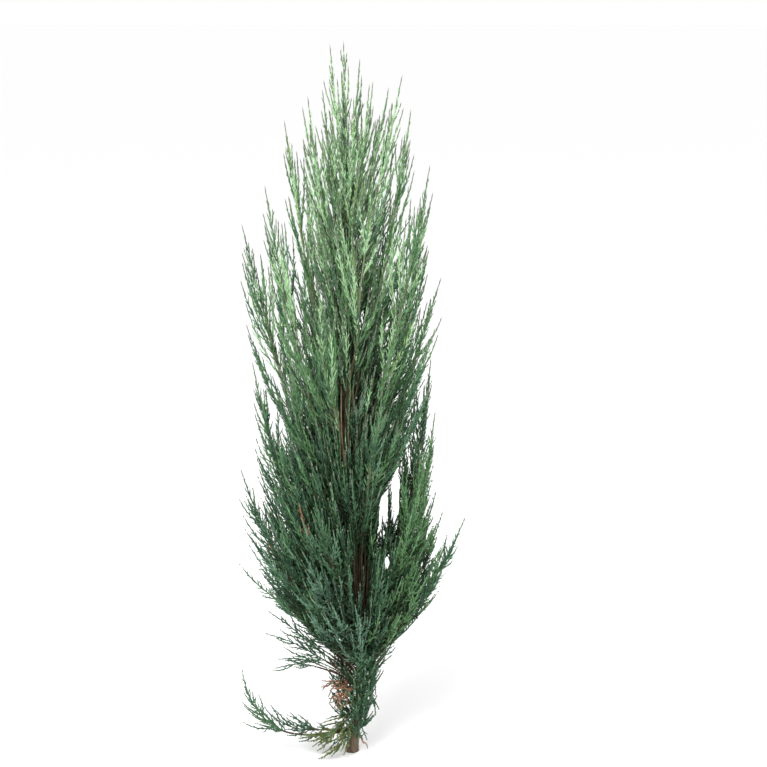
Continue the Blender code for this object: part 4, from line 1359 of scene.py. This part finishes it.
    def deal(self, points: np.ndarray, plume: np.ndarray) -> np.ndarray:
        """Picks a tone for each point, by chance, with weights that change with its height.

        Args:
            points: Points by 3.
            plume: Number of each point's plume, which may have a tone of its own.

        Returns:
            The number of each one's tone.
        """
        never = (0.0,) * len(self.heights)
        table = np.array([self.weights.get(tone, never) for tone in self.tones])
        share = np.stack([np.interp(points[:, 2], self.heights, row) for row in table], axis=1)
        ends = np.cumsum(share / share.sum(axis=1, keepdims=True), axis=1)
        dealt = (self.chance.random(len(points))[:, None] > ends).sum(axis=1)
        own = self.own_tone[plume]
        return np.where((own >= 0) & (self.chance.random(len(points)) < self.own_share), own,
                        dealt)

    def depth(self, points: np.ndarray) -> np.ndarray:
        """How far out points lie, as a share of the crown's reach at their height."""
        reach = np.maximum(shared_reach(points[:, 2]), self.least_reach)
        return np.hypot(points[:, 0], points[:, 1]) / reach

    def shaded(self, points: np.ndarray) -> np.ndarray:
        """Whether foliage lies so far inside the crown that it gets painted shade, further out in
        pockets.

        The pockets of painted shade lie where the product of a sine of x and a little z and a sine of
        z and a little y is above nought.

        Args:
            points: Points by 3.

        Returns:
            True for each that is.
        """
        right, back, height = points.T
        shade_pocket = (np.sin(self.shade_pocket_right[0] * right + self.shade_pocket_right[1] * height)
                  * np.sin(self.shade_pocket_up[0] * height + self.shade_pocket_up[1] * back
                           + self.shade_pocket_phase))
        limit = np.interp(height, self.shaded_heights, self.shaded_inside)
        limit = limit + self.shade_pocket_depth * np.maximum(shade_pocket, 0.0) * (height < self.shade_pocket_top)
        inside = self.depth(points) + self.chance.normal(0.0, self.shade_scatter, len(points))
        return (inside < limit) & (height > self.shaded_above)

    def bowed(self, root: np.ndarray, along: np.ndarray, across: np.ndarray, spin: np.ndarray,
              length: np.ndarray, rule: ShootRule, lean: np.ndarray) -> np.ndarray:
        """Points of shoots that leave at an angle and bow back towards the carrier and up.

        A shoot's point at share t is: root + length * ((t - t^2 / 2) * first + t^2 / 2 * last),
        from its direction at the root to its direction at the tip.

        Args:
            root: Where each shoot starts.
            along: The carrier's direction there.
            across: The direction that the spin is counted from.
            spin: Turn round the carrier.
            length: Length of each.
            rule: The order's rule.
            lean: Angle from the carrier.

        Returns:
            Shoots by samples by 3.
        """
        over = unit(across - along * (across * along).sum(1, keepdims=True))
        up = np.cross(along, over)
        outward = over * np.cos(spin)[:, None] + up * np.sin(spin)[:, None]
        first = along * np.cos(lean)[:, None] + outward * np.sin(lean)[:, None]
        last = unit(first * (1 - rule.bend) + along * rule.bend + UP * rule.rise)
        share = np.linspace(0.0, 1.0, rule.samples)[None, :, None]
        bow = (share - share**2 / 2) * first[:, None, :] + share**2 / 2 * last[:, None, :]
        return root[:, None, :] + bow * length[:, None, None]

    def places(self, carriers: Axes, rule: ShootRule, longest: np.ndarray) -> "Places":
        """The places of one order of shoots, by turns up every carrier.

        Args:
            carriers: The axes that carry them.
            rule: The order's rule.
            longest: Greatest length for each carrier's shoots.

        Returns:
            The places.
        """
        bare_tip = np.minimum(rule.bare_tip, self.bare_share * carriers.length)
        first = rule.first + rule.opens * self.open_foot[carriers.plume] * carriers.length
        thinned = (self.open_foot[carriers.plume] > self.open_from) & (rule.opens == 1.0)
        spacing = rule.spacing / np.where(thinned, self.thinned, 1.0)
        free = carriers.length - first - bare_tip
        count = np.maximum(np.floor(free / spacing).astype(int) + 1, 0)
        carrier = np.repeat(np.arange(len(count)), count)
        number = np.arange(count.sum()) - np.repeat(np.cumsum(count) - count, count)
        wobble = self.chance.uniform(-self.wobble, self.wobble, len(carrier))
        distance = np.maximum(first[carrier] + (number + wobble) * spacing[carrier], 0.0)
        root, along = carriers.sample(carrier, distance / carriers.length[carrier])
        left = carriers.length[carrier] - distance
        length = np.clip(rule.share * (left - bare_tip[carrier] * self.tip_share), rule.shortest,
                         np.minimum(rule.longest, longest[carrier]))
        length = length * self.chance.uniform(*self.size_range, len(carrier))
        lean = np.radians(rule.angle) * self.chance.uniform(*self.lean_range, len(carrier))
        lean = lean * np.interp(root[:, 2], *self.slim)
        phase = self.chance.uniform(0.0, 2 * math.pi, len(carriers.length))
        if rule.flat >= ALL_ROUND:
            spin = phase[carrier] + GOLDEN_ANGLE * number
        else:
            swing = np.radians(rule.flat)
            spin = math.pi * number + self.chance.uniform(-swing, swing, len(carrier))
        return Places(carriers, carrier, root, along, length, lean, spin)

    def fitted(self, places: "Places", which: np.ndarray, rule: ShootRule) -> tuple[
            np.ndarray, np.ndarray, np.ndarray]:
        """Shoots at some places, and whether they fit their plume's room.

        Args:
            places: The places of their order.
            which: Numbers of the places.
            rule: The order's rule.

        Returns:
            Their points, their plumes and whether each fits.
        """
        carriers, carrier = places.carriers, places.carrier[which]
        points = self.bowed(places.root[which], places.along[which], carriers.across[carrier],
                            places.spin[which], places.length[which], rule, places.lean[which])
        plume = carriers.plume[carrier]
        if (plume < 0).any():
            plume = self.room.nearest(points[:, rule.samples // 2])
        tested = points[:, rule.sunk:].reshape(-1, 3)
        kept = self.room.keeps(tested, np.repeat(plume, rule.samples - rule.sunk))
        return points, plume, kept.reshape(len(which), -1).all(axis=1)

    def grow(self, carriers: Axes, rule: ShootRule, longest: np.ndarray) -> Axes:
        """Grows one order of shoots; one that doesn't fit is tried further round and shorter.

        Args:
            carriers: The axes that carry them.
            rule: The order's rule.
            longest: Greatest length for each carrier's shoots.

        Returns:
            The shoots that fit.
        """
        places = self.places(carriers, rule, longest)
        made, waiting = [], np.arange(len(places.carrier))
        for _ in range(rule.tries):
            if len(waiting) == 0:
                break
            points, plume, good = self.fitted(places, waiting, rule)
            made.append(places.axes(waiting[good], points[good], plume[good]))
            waiting = waiting[~good]
            places.spin[waiting] += GOLDEN_ANGLE if rule.flat >= ALL_ROUND else math.pi
            places.length[waiting] = np.maximum(places.length[waiting] * self.try_shrink,
                                                rule.shortest * self.least_shrink)
        log.info("%d of %d shoots fit", len(places.carrier) - len(waiting), len(places.carrier))
        return Axes.together(made)

    def lead(self, carriers: Axes, rule: ShootRule, longest: np.ndarray) -> Axes:
        """Grows leaders in rounds, each the way round its carrier where the crown is emptiest.

        Args:
            carriers: The stems that carry them.
            rule: The order's rule.
            longest: Greatest length for each stem's leaders.

        Returns:
            The leaders that fit where the crown isn't full yet.
        """
        places = self.places(carriers, rule, longest)
        turn = self.chance.integers(0, self.rounds, len(places.carrier))
        made = []
        for number in range(self.rounds):
            mine = np.flatnonzero(turn == number)
            full = np.interp(places.root[mine, 2] + self.crowded_at * places.length[mine],
                             *self.full)
            best = full.copy()
            chosen = np.zeros((len(mine), rule.samples, 3))
            length = places.length[mine].copy()
            for attempt in range(rule.tries):
                if attempt == rule.tries // 2:
                    places.length[mine] = np.maximum(length * self.second_length, rule.shortest)
                points, _, good = self.fitted(places, mine, rule)
                crowded = self.crowding.at(points[:, rule.samples // 3:]).mean(axis=1)
                crowded += self.second_cost * (attempt >= rule.tries // 2)
                better = good & (crowded < best)
                best[better], chosen[better] = crowded[better], points[better]
                places.spin[mine] += GOLDEN_ANGLE
            taken = best < full
            mine, chosen = mine[taken], chosen[taken]
            places.length[mine] = np.linalg.norm(np.diff(chosen, axis=1), axis=2).sum(axis=1)
            weights = np.repeat(places.length[mine] / rule.samples / self.crowding.step,
                                rule.samples)
            self.crowding.add(chosen, weights)
            made.append(places.axes(mine, chosen, carriers.plume[places.carrier[mine]]))
        return Axes.together(made)


@dataclass
class Places:
    """Where one order of shoots starts, and its shoots' measures.

    Attributes:
        carriers: The axes that carry them.
        carrier: Number of each one's carrier.
        root: Where each starts.
        along: The carrier's direction there.
        length: Length of each.
        lean: Angle of each from its carrier.
        spin: Turn of each round its carrier.
    """

    carriers: Axes
    carrier: np.ndarray
    root: np.ndarray
    along: np.ndarray
    length: np.ndarray
    lean: np.ndarray
    spin: np.ndarray

    def axes(self, which: np.ndarray, points: np.ndarray, plume: np.ndarray) -> Axes:
        """Shoots at some places as a batch of axes.

        Args:
            which: Numbers of the places.
            points: Their points.
            plume: Number of each one's plume.

        Returns:
            The batch.
        """
        first = unit(points[:, 1] - points[:, 0])
        carrier = self.carrier[which]
        return Axes(points, unit(np.cross(self.along[which], first)), self.length[which],
                    plume, self.carriers.tone[carrier], self.carriers.thick[carrier])


def beads(rings: int, root: np.ndarray, tip: np.ndarray, waist: float) -> np.ndarray:
    """Radii of leafy cords: an even taper with every second ring drawn in, as between scale leaves.

    Args:
        rings: Rings of a cord.
        root: Radius of each at its root.
        tip: Radius of each at its tip.
        waist: Share of the radius that is left where it is drawn in.

    Returns:
        Cords by rings.
    """
    share = np.linspace(0.0, 1.0, rings)[None, :]
    taper = root[:, None] + (tip - root)[:, None] * share
    return taper * np.where(np.arange(rings) % 2 == 0, waist, 1.0)[None, :]


@dataclass(frozen=True)
class LeafyEnd:
    """How the end of a stem or leader is clothed: a cord, and on it a pale tip.

    Attributes:
        leafy: Length of both together.
        tips: Length of the tip where the shoot ends at each of TIP_HEIGHTS.
        rings: Rings of the cord.
    """

    leafy: float
    tips: Triple
    rings: int


@dataclass(frozen=True)
class CordRule:
    """How twigs or branchlets are clothed.

    Attributes:
        split: Length from which a cord has more rings.
        few: Rings of a shorter cord.
        more: Rings of a longer one.
        root: Radius at the root, in cord radii.
        tip: Radius at the tip, in cord radii.
    """

    split: float
    few: int
    more: int
    root: float
    tip: float


TIP_HEIGHTS = (0.40, 0.60, 0.90)
STEM_END = LeafyEnd(0.12, (0.004, 0.035, 0.045), 20)
LEADER_END = LeafyEnd(0.11, (0.001, 0.018, 0.034), 9)
TWIG_CORDS = CordRule(0.014, 2, 3, 1.15, 1.05)
BRANCHLET_CORDS = CordRule(0.009, 1, 2, 1.3, 1.1)
Cords = tuple[Axes, np.ndarray, np.ndarray]  # axes with their points and radii


@dataclass
class Foliage:
    """The twigs, branchlets and cords as meshes.

    Attributes:
        crown: The crown that grows them.
        cord: Radius of a leafy cord.
        waist: Share of the radius that is left between its leaves.
        cord_sides: Corners of a cord's ring, and of a leader's foot.
        wood_sides: Corners of a stem's ring.
        stem_rings: Rings of a stem up to its leafy end.
        foot_rings: Rings of a fine limb's bare foot.
        leader_rings: Rings of a leader's bare foot.
        tip_rings: Rings of a pale tip.
        sunk: How far wood reaches into what it meets.
        tip_sunk: How far a tip reaches into its cord.
        stem_cover: Length of a stem's end that has no wood in it.
        leader_cover: Length of a leader's end that has none.
        least_wood: Least share of a stem that is wood.
        leader_wood: Least and greatest share of a leader.
        leader_radius: A leader's least radius at its root, and what each metre of it adds.
        leader_taper: Share of that radius that is left where its wood ends.
        least_start: Least share of a shoot below its cord.
        least_turn: Least share below its tip.
        end_radii: Radius of a leafy end at its root and at its tip, in cord radii.
        tip_radii: The same of a pale tip.
    """

    crown: Crown
    cord: float = 0.00082
    waist: float = 0.78
    cord_sides: int = 3
    wood_sides: int = 5
    stem_rings: int = 25
    foot_rings: int = 11
    leader_rings: int = 7
    tip_rings: int = 6
    sunk: float = 0.002
    tip_sunk: float = 0.001
    stem_cover: float = 0.11
    leader_cover: float = 0.10
    least_wood: float = 0.2
    leader_wood: Pair = (0.25, 0.7)
    leader_radius: Pair = (0.0005, 0.0045)
    leader_taper: float = 0.6
    least_start: float = 0.1
    least_turn: float = 0.2
    end_radii: Pair = (1.8, 1.4)
    tip_radii: Pair = (1.5, 1.05)

    def grow(self) -> None:
        """Grows the orders one on another, and deals a tone to each spray."""
        crown = self.crown
        stems = crown.stems
        leaders = crown.lead(stems, LEADERS, crown.leader_reach_of)
        leaders.tone = crown.deal(leaders.points[:, -1], leaders.plume)
        log.info("%d leaders, %.1f m", len(leaders.length), leaders.length.sum())
        twigs = Axes.together([
            crown.grow(stems, TWIGS, self.twig_limit(stems)),
            crown.grow(leaders, TWIGS, self.twig_limit(leaders)),
            crown.grow(crown.trunk_axis(), TRUNK_TWIGS, np.ones(1))])
        middle = twigs.points[:, TWIGS.samples // 2]
        redealt = crown.chance.random(len(middle)) > crown.keep_tone
        twigs.tone = np.where(redealt, crown.deal(middle, twigs.plume), twigs.tone)
        # Painted shade: twigs deep inside the crown get the dark shaded tone, which their branchlets
        # take on.
        twigs.tone[crown.shaded(middle)] = crown.tones.index(Tone.SHADED)
        log.info("%d twigs, %.1f m", len(twigs.length), twigs.length.sum())
        shaded = twigs.tone == crown.tones.index(Tone.SHADED)
        bearing = twigs.chosen(~shaded | (crown.chance.random(len(shaded)) < crown.shaded_leafy))
        branchlets = crown.grow(bearing, BRANCHLETS, self.twig_limit(bearing))
        log.info("%d branchlets, %.1f m", len(branchlets.length), branchlets.length.sum())
        self.stems, self.leaders, self.twigs, self.branchlets = stems, leaders, twigs, branchlets

    def twig_limit(self, axes: Axes) -> np.ndarray:
        """Greatest length of the twigs on each axis: longer towards the foot of the tree."""
        return np.interp(axes.points[:, axes.points.shape[1] // 2, 2], *self.crown.twig_lengths)

    def fine_feet(self, pale: bool) -> list[Shape]:
        """The bare feet of the fine limbs, from inside the trunk up to the plume.

        Args:
            pale: Whether to make those with pale bark or the others.

        Returns:
            Their corners and faces, in a list of one.
        """
        limbs = self.crown.limbs
        mine = np.array([number for number, limb in enumerate(limbs)
                         if number >= self.crown.named and limb.bare > 0
                         and limb.name.startswith("pale") == pale])
        whole = self.crown.whole_limbs().chosen(mine)
        bare = np.array([limbs[number].bare for number in mine])
        points = whole.stretch(bare * 0, bare + self.sunk, self.foot_rings + 1)
        girth = np.stack([limbs[number].girth(limbs[number].bare
                                              * np.linspace(0, 1, self.foot_rings))
                          for number in mine])
        return [tube_arrays(points, girth, whole.across, self.wood_sides, 0.0)]

    def woody(self) -> list[Shape]:
        """Bare stems up to their leafy ends, and the feet of the leaders.

        Returns:
            The corners and faces of both.
        """
        stems, leaders = self.stems, self.leaders
        stem_end = np.clip(1.0 - self.stem_cover / stems.length, self.least_wood, 1.0)
        points = stems.stretch(-self.sunk / stems.length, stem_end, self.stem_rings + 1)
        girth = np.stack([limb.girth(limb.bare + (1 - limb.bare)
                                     * np.linspace(0, end, self.stem_rings))
                          for limb, end in zip(self.crown.limbs, stem_end)])
        wood = tube_arrays(points, girth, stems.across, self.wood_sides, 0.0)
        end = np.clip(1.0 - self.leader_cover / leaders.length, *self.leader_wood)
        least, more = self.leader_radius
        radius = least + more * leaders.length
        girth = radius[:, None] * np.linspace(1.0, self.leader_taper, self.leader_rings)[None, :]
        feet = leaders.stretch(end * 0, end, self.leader_rings + 1)
        return [wood, tube_arrays(feet, girth, leaders.across, self.cord_sides, 0.0)]

    def clothe(self, made: dict[Tone, list[Cords]], axes: Axes, start: np.ndarray,
               end: np.ndarray, rings: int, root: float, tip: float) -> None:
        """Adds the cords along part of each axis to those of its tone.

        Args:
            made: The cords of each tone.
            axes: The axes.
            start: Share of its length where each cord starts.
            end: Share where it ends.
            rings: Rings of a cord.
            root: Radius at the root, in cord radii.
            tip: Radius at the tip, in cord radii.
        """
        points = axes.stretch(start, end, rings + 1)
        thick = np.full(len(points), self.cord)
        radii = beads(rings, thick * root, thick * tip, self.waist)
        for number, tone in enumerate(self.crown.tones):
            mine = axes.tone == number
            if mine.any():
                made[tone].append((axes.chosen(mine), points[mine], radii[mine]))

    def cords(self) -> dict[Tone, list[Cords]]:
        """The leafy cords by tone: the stems' ends, the leaders, the twigs and the branchlets.

        Returns:
            For each tone, batches of axes with their points and radii.
        """
        made: dict[Tone, list[Cords]] = {tone: [] for tone in Tone}
        tip_tone = self.crown.tones.index(Tone.TIP)
        for axes, rule in ((self.stems, STEM_END), (self.leaders, LEADER_END)):
            start = np.clip(1.0 - rule.leafy / axes.length, self.least_start, 1.0)
            bare = np.interp(axes.points[:, -1, 2], TIP_HEIGHTS, rule.tips)
            turn = np.clip(1.0 - bare / axes.length, self.least_turn, 1.0)
            self.clothe(made, axes, start, turn, rule.rings, *self.end_radii)
            tips = replace(axes, tone=np.full(len(start), tip_tone))
            self.clothe(made, tips, turn - self.tip_sunk / axes.length, np.ones(len(start)),
                        self.tip_rings, *self.tip_radii)
        for axes, rule in ((self.twigs, TWIG_CORDS), (self.branchlets, BRANCHLET_CORDS)):
            for mine, rings in ((axes.length < rule.split, rule.few),
                                (axes.length >= rule.split, rule.more)):
                some = axes.chosen(mine)
                zero = np.zeros(len(some.length))
                self.clothe(made, some, zero, zero + 1.0, rings, rule.root, rule.tip)
        return made

    def groups(self, batches: list[Cords]) -> list[list[Cords]]:
        """Cuts up batches of cords and gathers them under the limit of triangles.

        Args:
            batches: The cords of one tone.

        Returns:
            The cords of each of its pieces.
        """
        made, weight = [[]], 0
        for axes, points, radii in batches:
            each = 2 * self.cord_sides * radii.shape[1] - 2  # triangles of a cord with its two ends
            step = max(PIECE_LIMIT // each, 1)
            for start in range(0, len(points), step):
                part = slice(start, start + step)
                size = len(points[part]) * each
                if weight + size > PIECE_LIMIT:
                    made.append([])
                    weight = 0
                made[-1].append((axes.chosen(part), points[part], radii[part]))
                weight += size
        return [group for group in made if group]

    def build(self) -> None:
        """Makes and places the pieces, each tone apart and under the limit of triangles."""
        self.grow()
        names = ["plume_" + limb.name for limb in self.crown.limbs
                 if "plume_" + limb.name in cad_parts]
        wood = new_piece("twig_wood", joined(self.woody() + self.fine_feet(False)),
                         TWIG_BARK.material(), True)
        place_piece(wood, names)
        pale = new_piece("pale_stem", joined(self.fine_feet(True)), PALE_BARK.material(), True)
        place_piece(pale, [])
        twist = math.pi / self.cord_sides
        for tone, batches in self.cords().items():
            if not batches:
                continue
            material = FOLIAGE[tone].material()
            for number, group in enumerate(self.groups(batches)):
                arrays = joined([tube_arrays(points, radii, axes.across, self.cord_sides, twist)
                                 for axes, points, radii in group])
                piece = new_piece(f"foliage_{tone.value}_{number + 1}", arrays, material, False)
                held = np.unique(np.concatenate([axes.plume for axes, _, _ in group]))
                place_piece(piece, [names[plume] for plume in held
                                                  if plume < len(names)])


# ---------------------------------------------------------------- studio


def add_object(name: str, data: bpy.types.ID, place: Triple, turn: Triple) -> bpy.types.Object:
    """Adds a light or a camera to the scene.

    Args:
        name: Name of the object.
        data: The light or the camera.
        place: Where it stands.
        turn: Its turn in radians about x, y and z.

    Returns:
        The new object.
    """
    holder = bpy.data.objects.new(name, data)
    holder.location = place
    holder.rotation_euler = turn
    bpy.context.scene.collection.objects.link(holder)
    return holder


@dataclass(frozen=True)
class Lamp:
    """A soft square light that faces the crown.

    Attributes:
        name: Its name.
        place: Where it hangs.
        size: Its side in metres.
        power: Its power in watts.
        aim: The middle of the crown.
    """

    name: str
    place: Triple
    size: float
    power: float
    aim: Triple = (0.0, 0.0, 0.5)

    def build(self) -> None:
        """Hangs the light and turns it to the crown."""
        lamp = bpy.data.lights.new(self.name, "AREA")
        lamp.shape = "SQUARE"
        lamp.size = self.size
        lamp.energy = self.power
        towards = Vector(self.aim) - Vector(self.place)
        add_object(self.name, lamp, self.place, towards.to_track_quat("-Z", "Y").to_euler())


@dataclass(frozen=True)
class Studio:
    """The pale floor, soft lights and camera.

    Attributes:
        camera_place: Where the camera stands.
        pitch: Degrees that it looks down.
        sensor: Width of its sensor in millimetres.
        focal: Focal length in millimetres.
        floor_half: Half the floor's width.
        floor_colour: Linear colour of the floor.
        floor_roughness: Roughness of the floor.
        sky: Strength of the white sky.
        sun: Strength of the daylight.
        sun_angle: Degrees that the sun fills, which softens its shadows.
        sun_turn: Degrees that it is turned about x, y and z.
        lamps: The square lights.
    """

    camera_place: Triple = (0.0462, -2.014, 1.036)
    pitch: float = 13.49
    sensor: float = 36.0
    focal: float = 36.0 * 1500.0 / 767.0
    floor_half: float = 1500.0
    floor_colour: Triple = (0.855, 0.855, 0.855)
    floor_roughness: float = 0.9
    sky: float = 1.0
    sun: float = 0.6
    sun_angle: float = 60.0
    sun_turn: Triple = (35.0, 0.0, -20.0)
    lamps: tuple[Lamp, ...] = (Lamp("key", (-0.7, -1.35, 2.05), 1.2, 50.0),
                               Lamp("fill", (1.4, -1.4, 1.8), 1.6, 16.0))

    def floor(self) -> None:
        """A wide pale floor."""
        half = self.floor_half
        corners = np.array([(-half, -half, 0), (half, -half, 0), (half, half, 0), (-half, half, 0)])
        finish = Finish("pale_floor", self.floor_colour, self.floor_colour, bump=0.0,
                        roughness=self.floor_roughness)
        floor = new_piece("floor", (corners, np.array([[0, 1, 2, 3]]), np.zeros((0, 3), int)),
                          finish.material(), False)

    def build(self) -> None:
        """Sets up the floor, sky, lights and camera."""
        scene = bpy.context.scene
        self.floor()
        world = bpy.data.worlds.new("sky")
        world.use_nodes = True
        fill_inputs(world.node_tree, world.node_tree.nodes["Background"],
                    {"Color": (1.0, 1.0, 1.0, 1.0), "Strength": self.sky})
        scene.world = world
        for lamp in self.lamps:
            lamp.build()
        sun = bpy.data.lights.new("daylight", "SUN")
        sun.energy = self.sun
        sun.angle = math.radians(self.sun_angle)
        add_object("daylight", sun, (0.0, 0.0, 0.0),
                   tuple(math.radians(turn) for turn in self.sun_turn))
        scene.view_settings.view_transform = "Standard"
        camera = bpy.data.cameras.new("camera")
        camera.lens = self.focal
        camera.sensor_width = self.sensor
        scene.camera = add_object("camera", camera, self.camera_place,
                                  (math.radians(90.0 - self.pitch), 0.0, 0.0))


def crosses_gap(limb: Limb) -> bool:
    """Whether a limb's path passes through an opening that goes through the whole crown."""
    path = limb.path(TRUNK, PATH_SAMPLES)
    return any(opening.holds(path).any() for opening in OPENINGS if not opening.front_only)


def main() -> None:
    """Builds the tree's pieces in order, then the studio."""
    logging.basicConfig(level=logging.INFO, format="%(message)s")
    limbs = list(NAMED_LIMBS) + RING.limbs()
    TRUNK.dress(TRUNK.build())
    boughs = Boughs()
    boughs.dress(boughs.build(limbs), limbs)
    fronds = [frond for fronds in FOOT_FRONDS for frond in fronds.limbs()]
    fine = [limb for limb in (*FINE_LIMBS, *InnerLimbs().limbs(), *fronds)
            if limb.name.startswith(Room.in_openings) or not crosses_gap(limb)]
    Foliage(Crown(limbs + fine, len(limbs))).build()
    Studio().build()


if __name__ == "__main__":
    main()
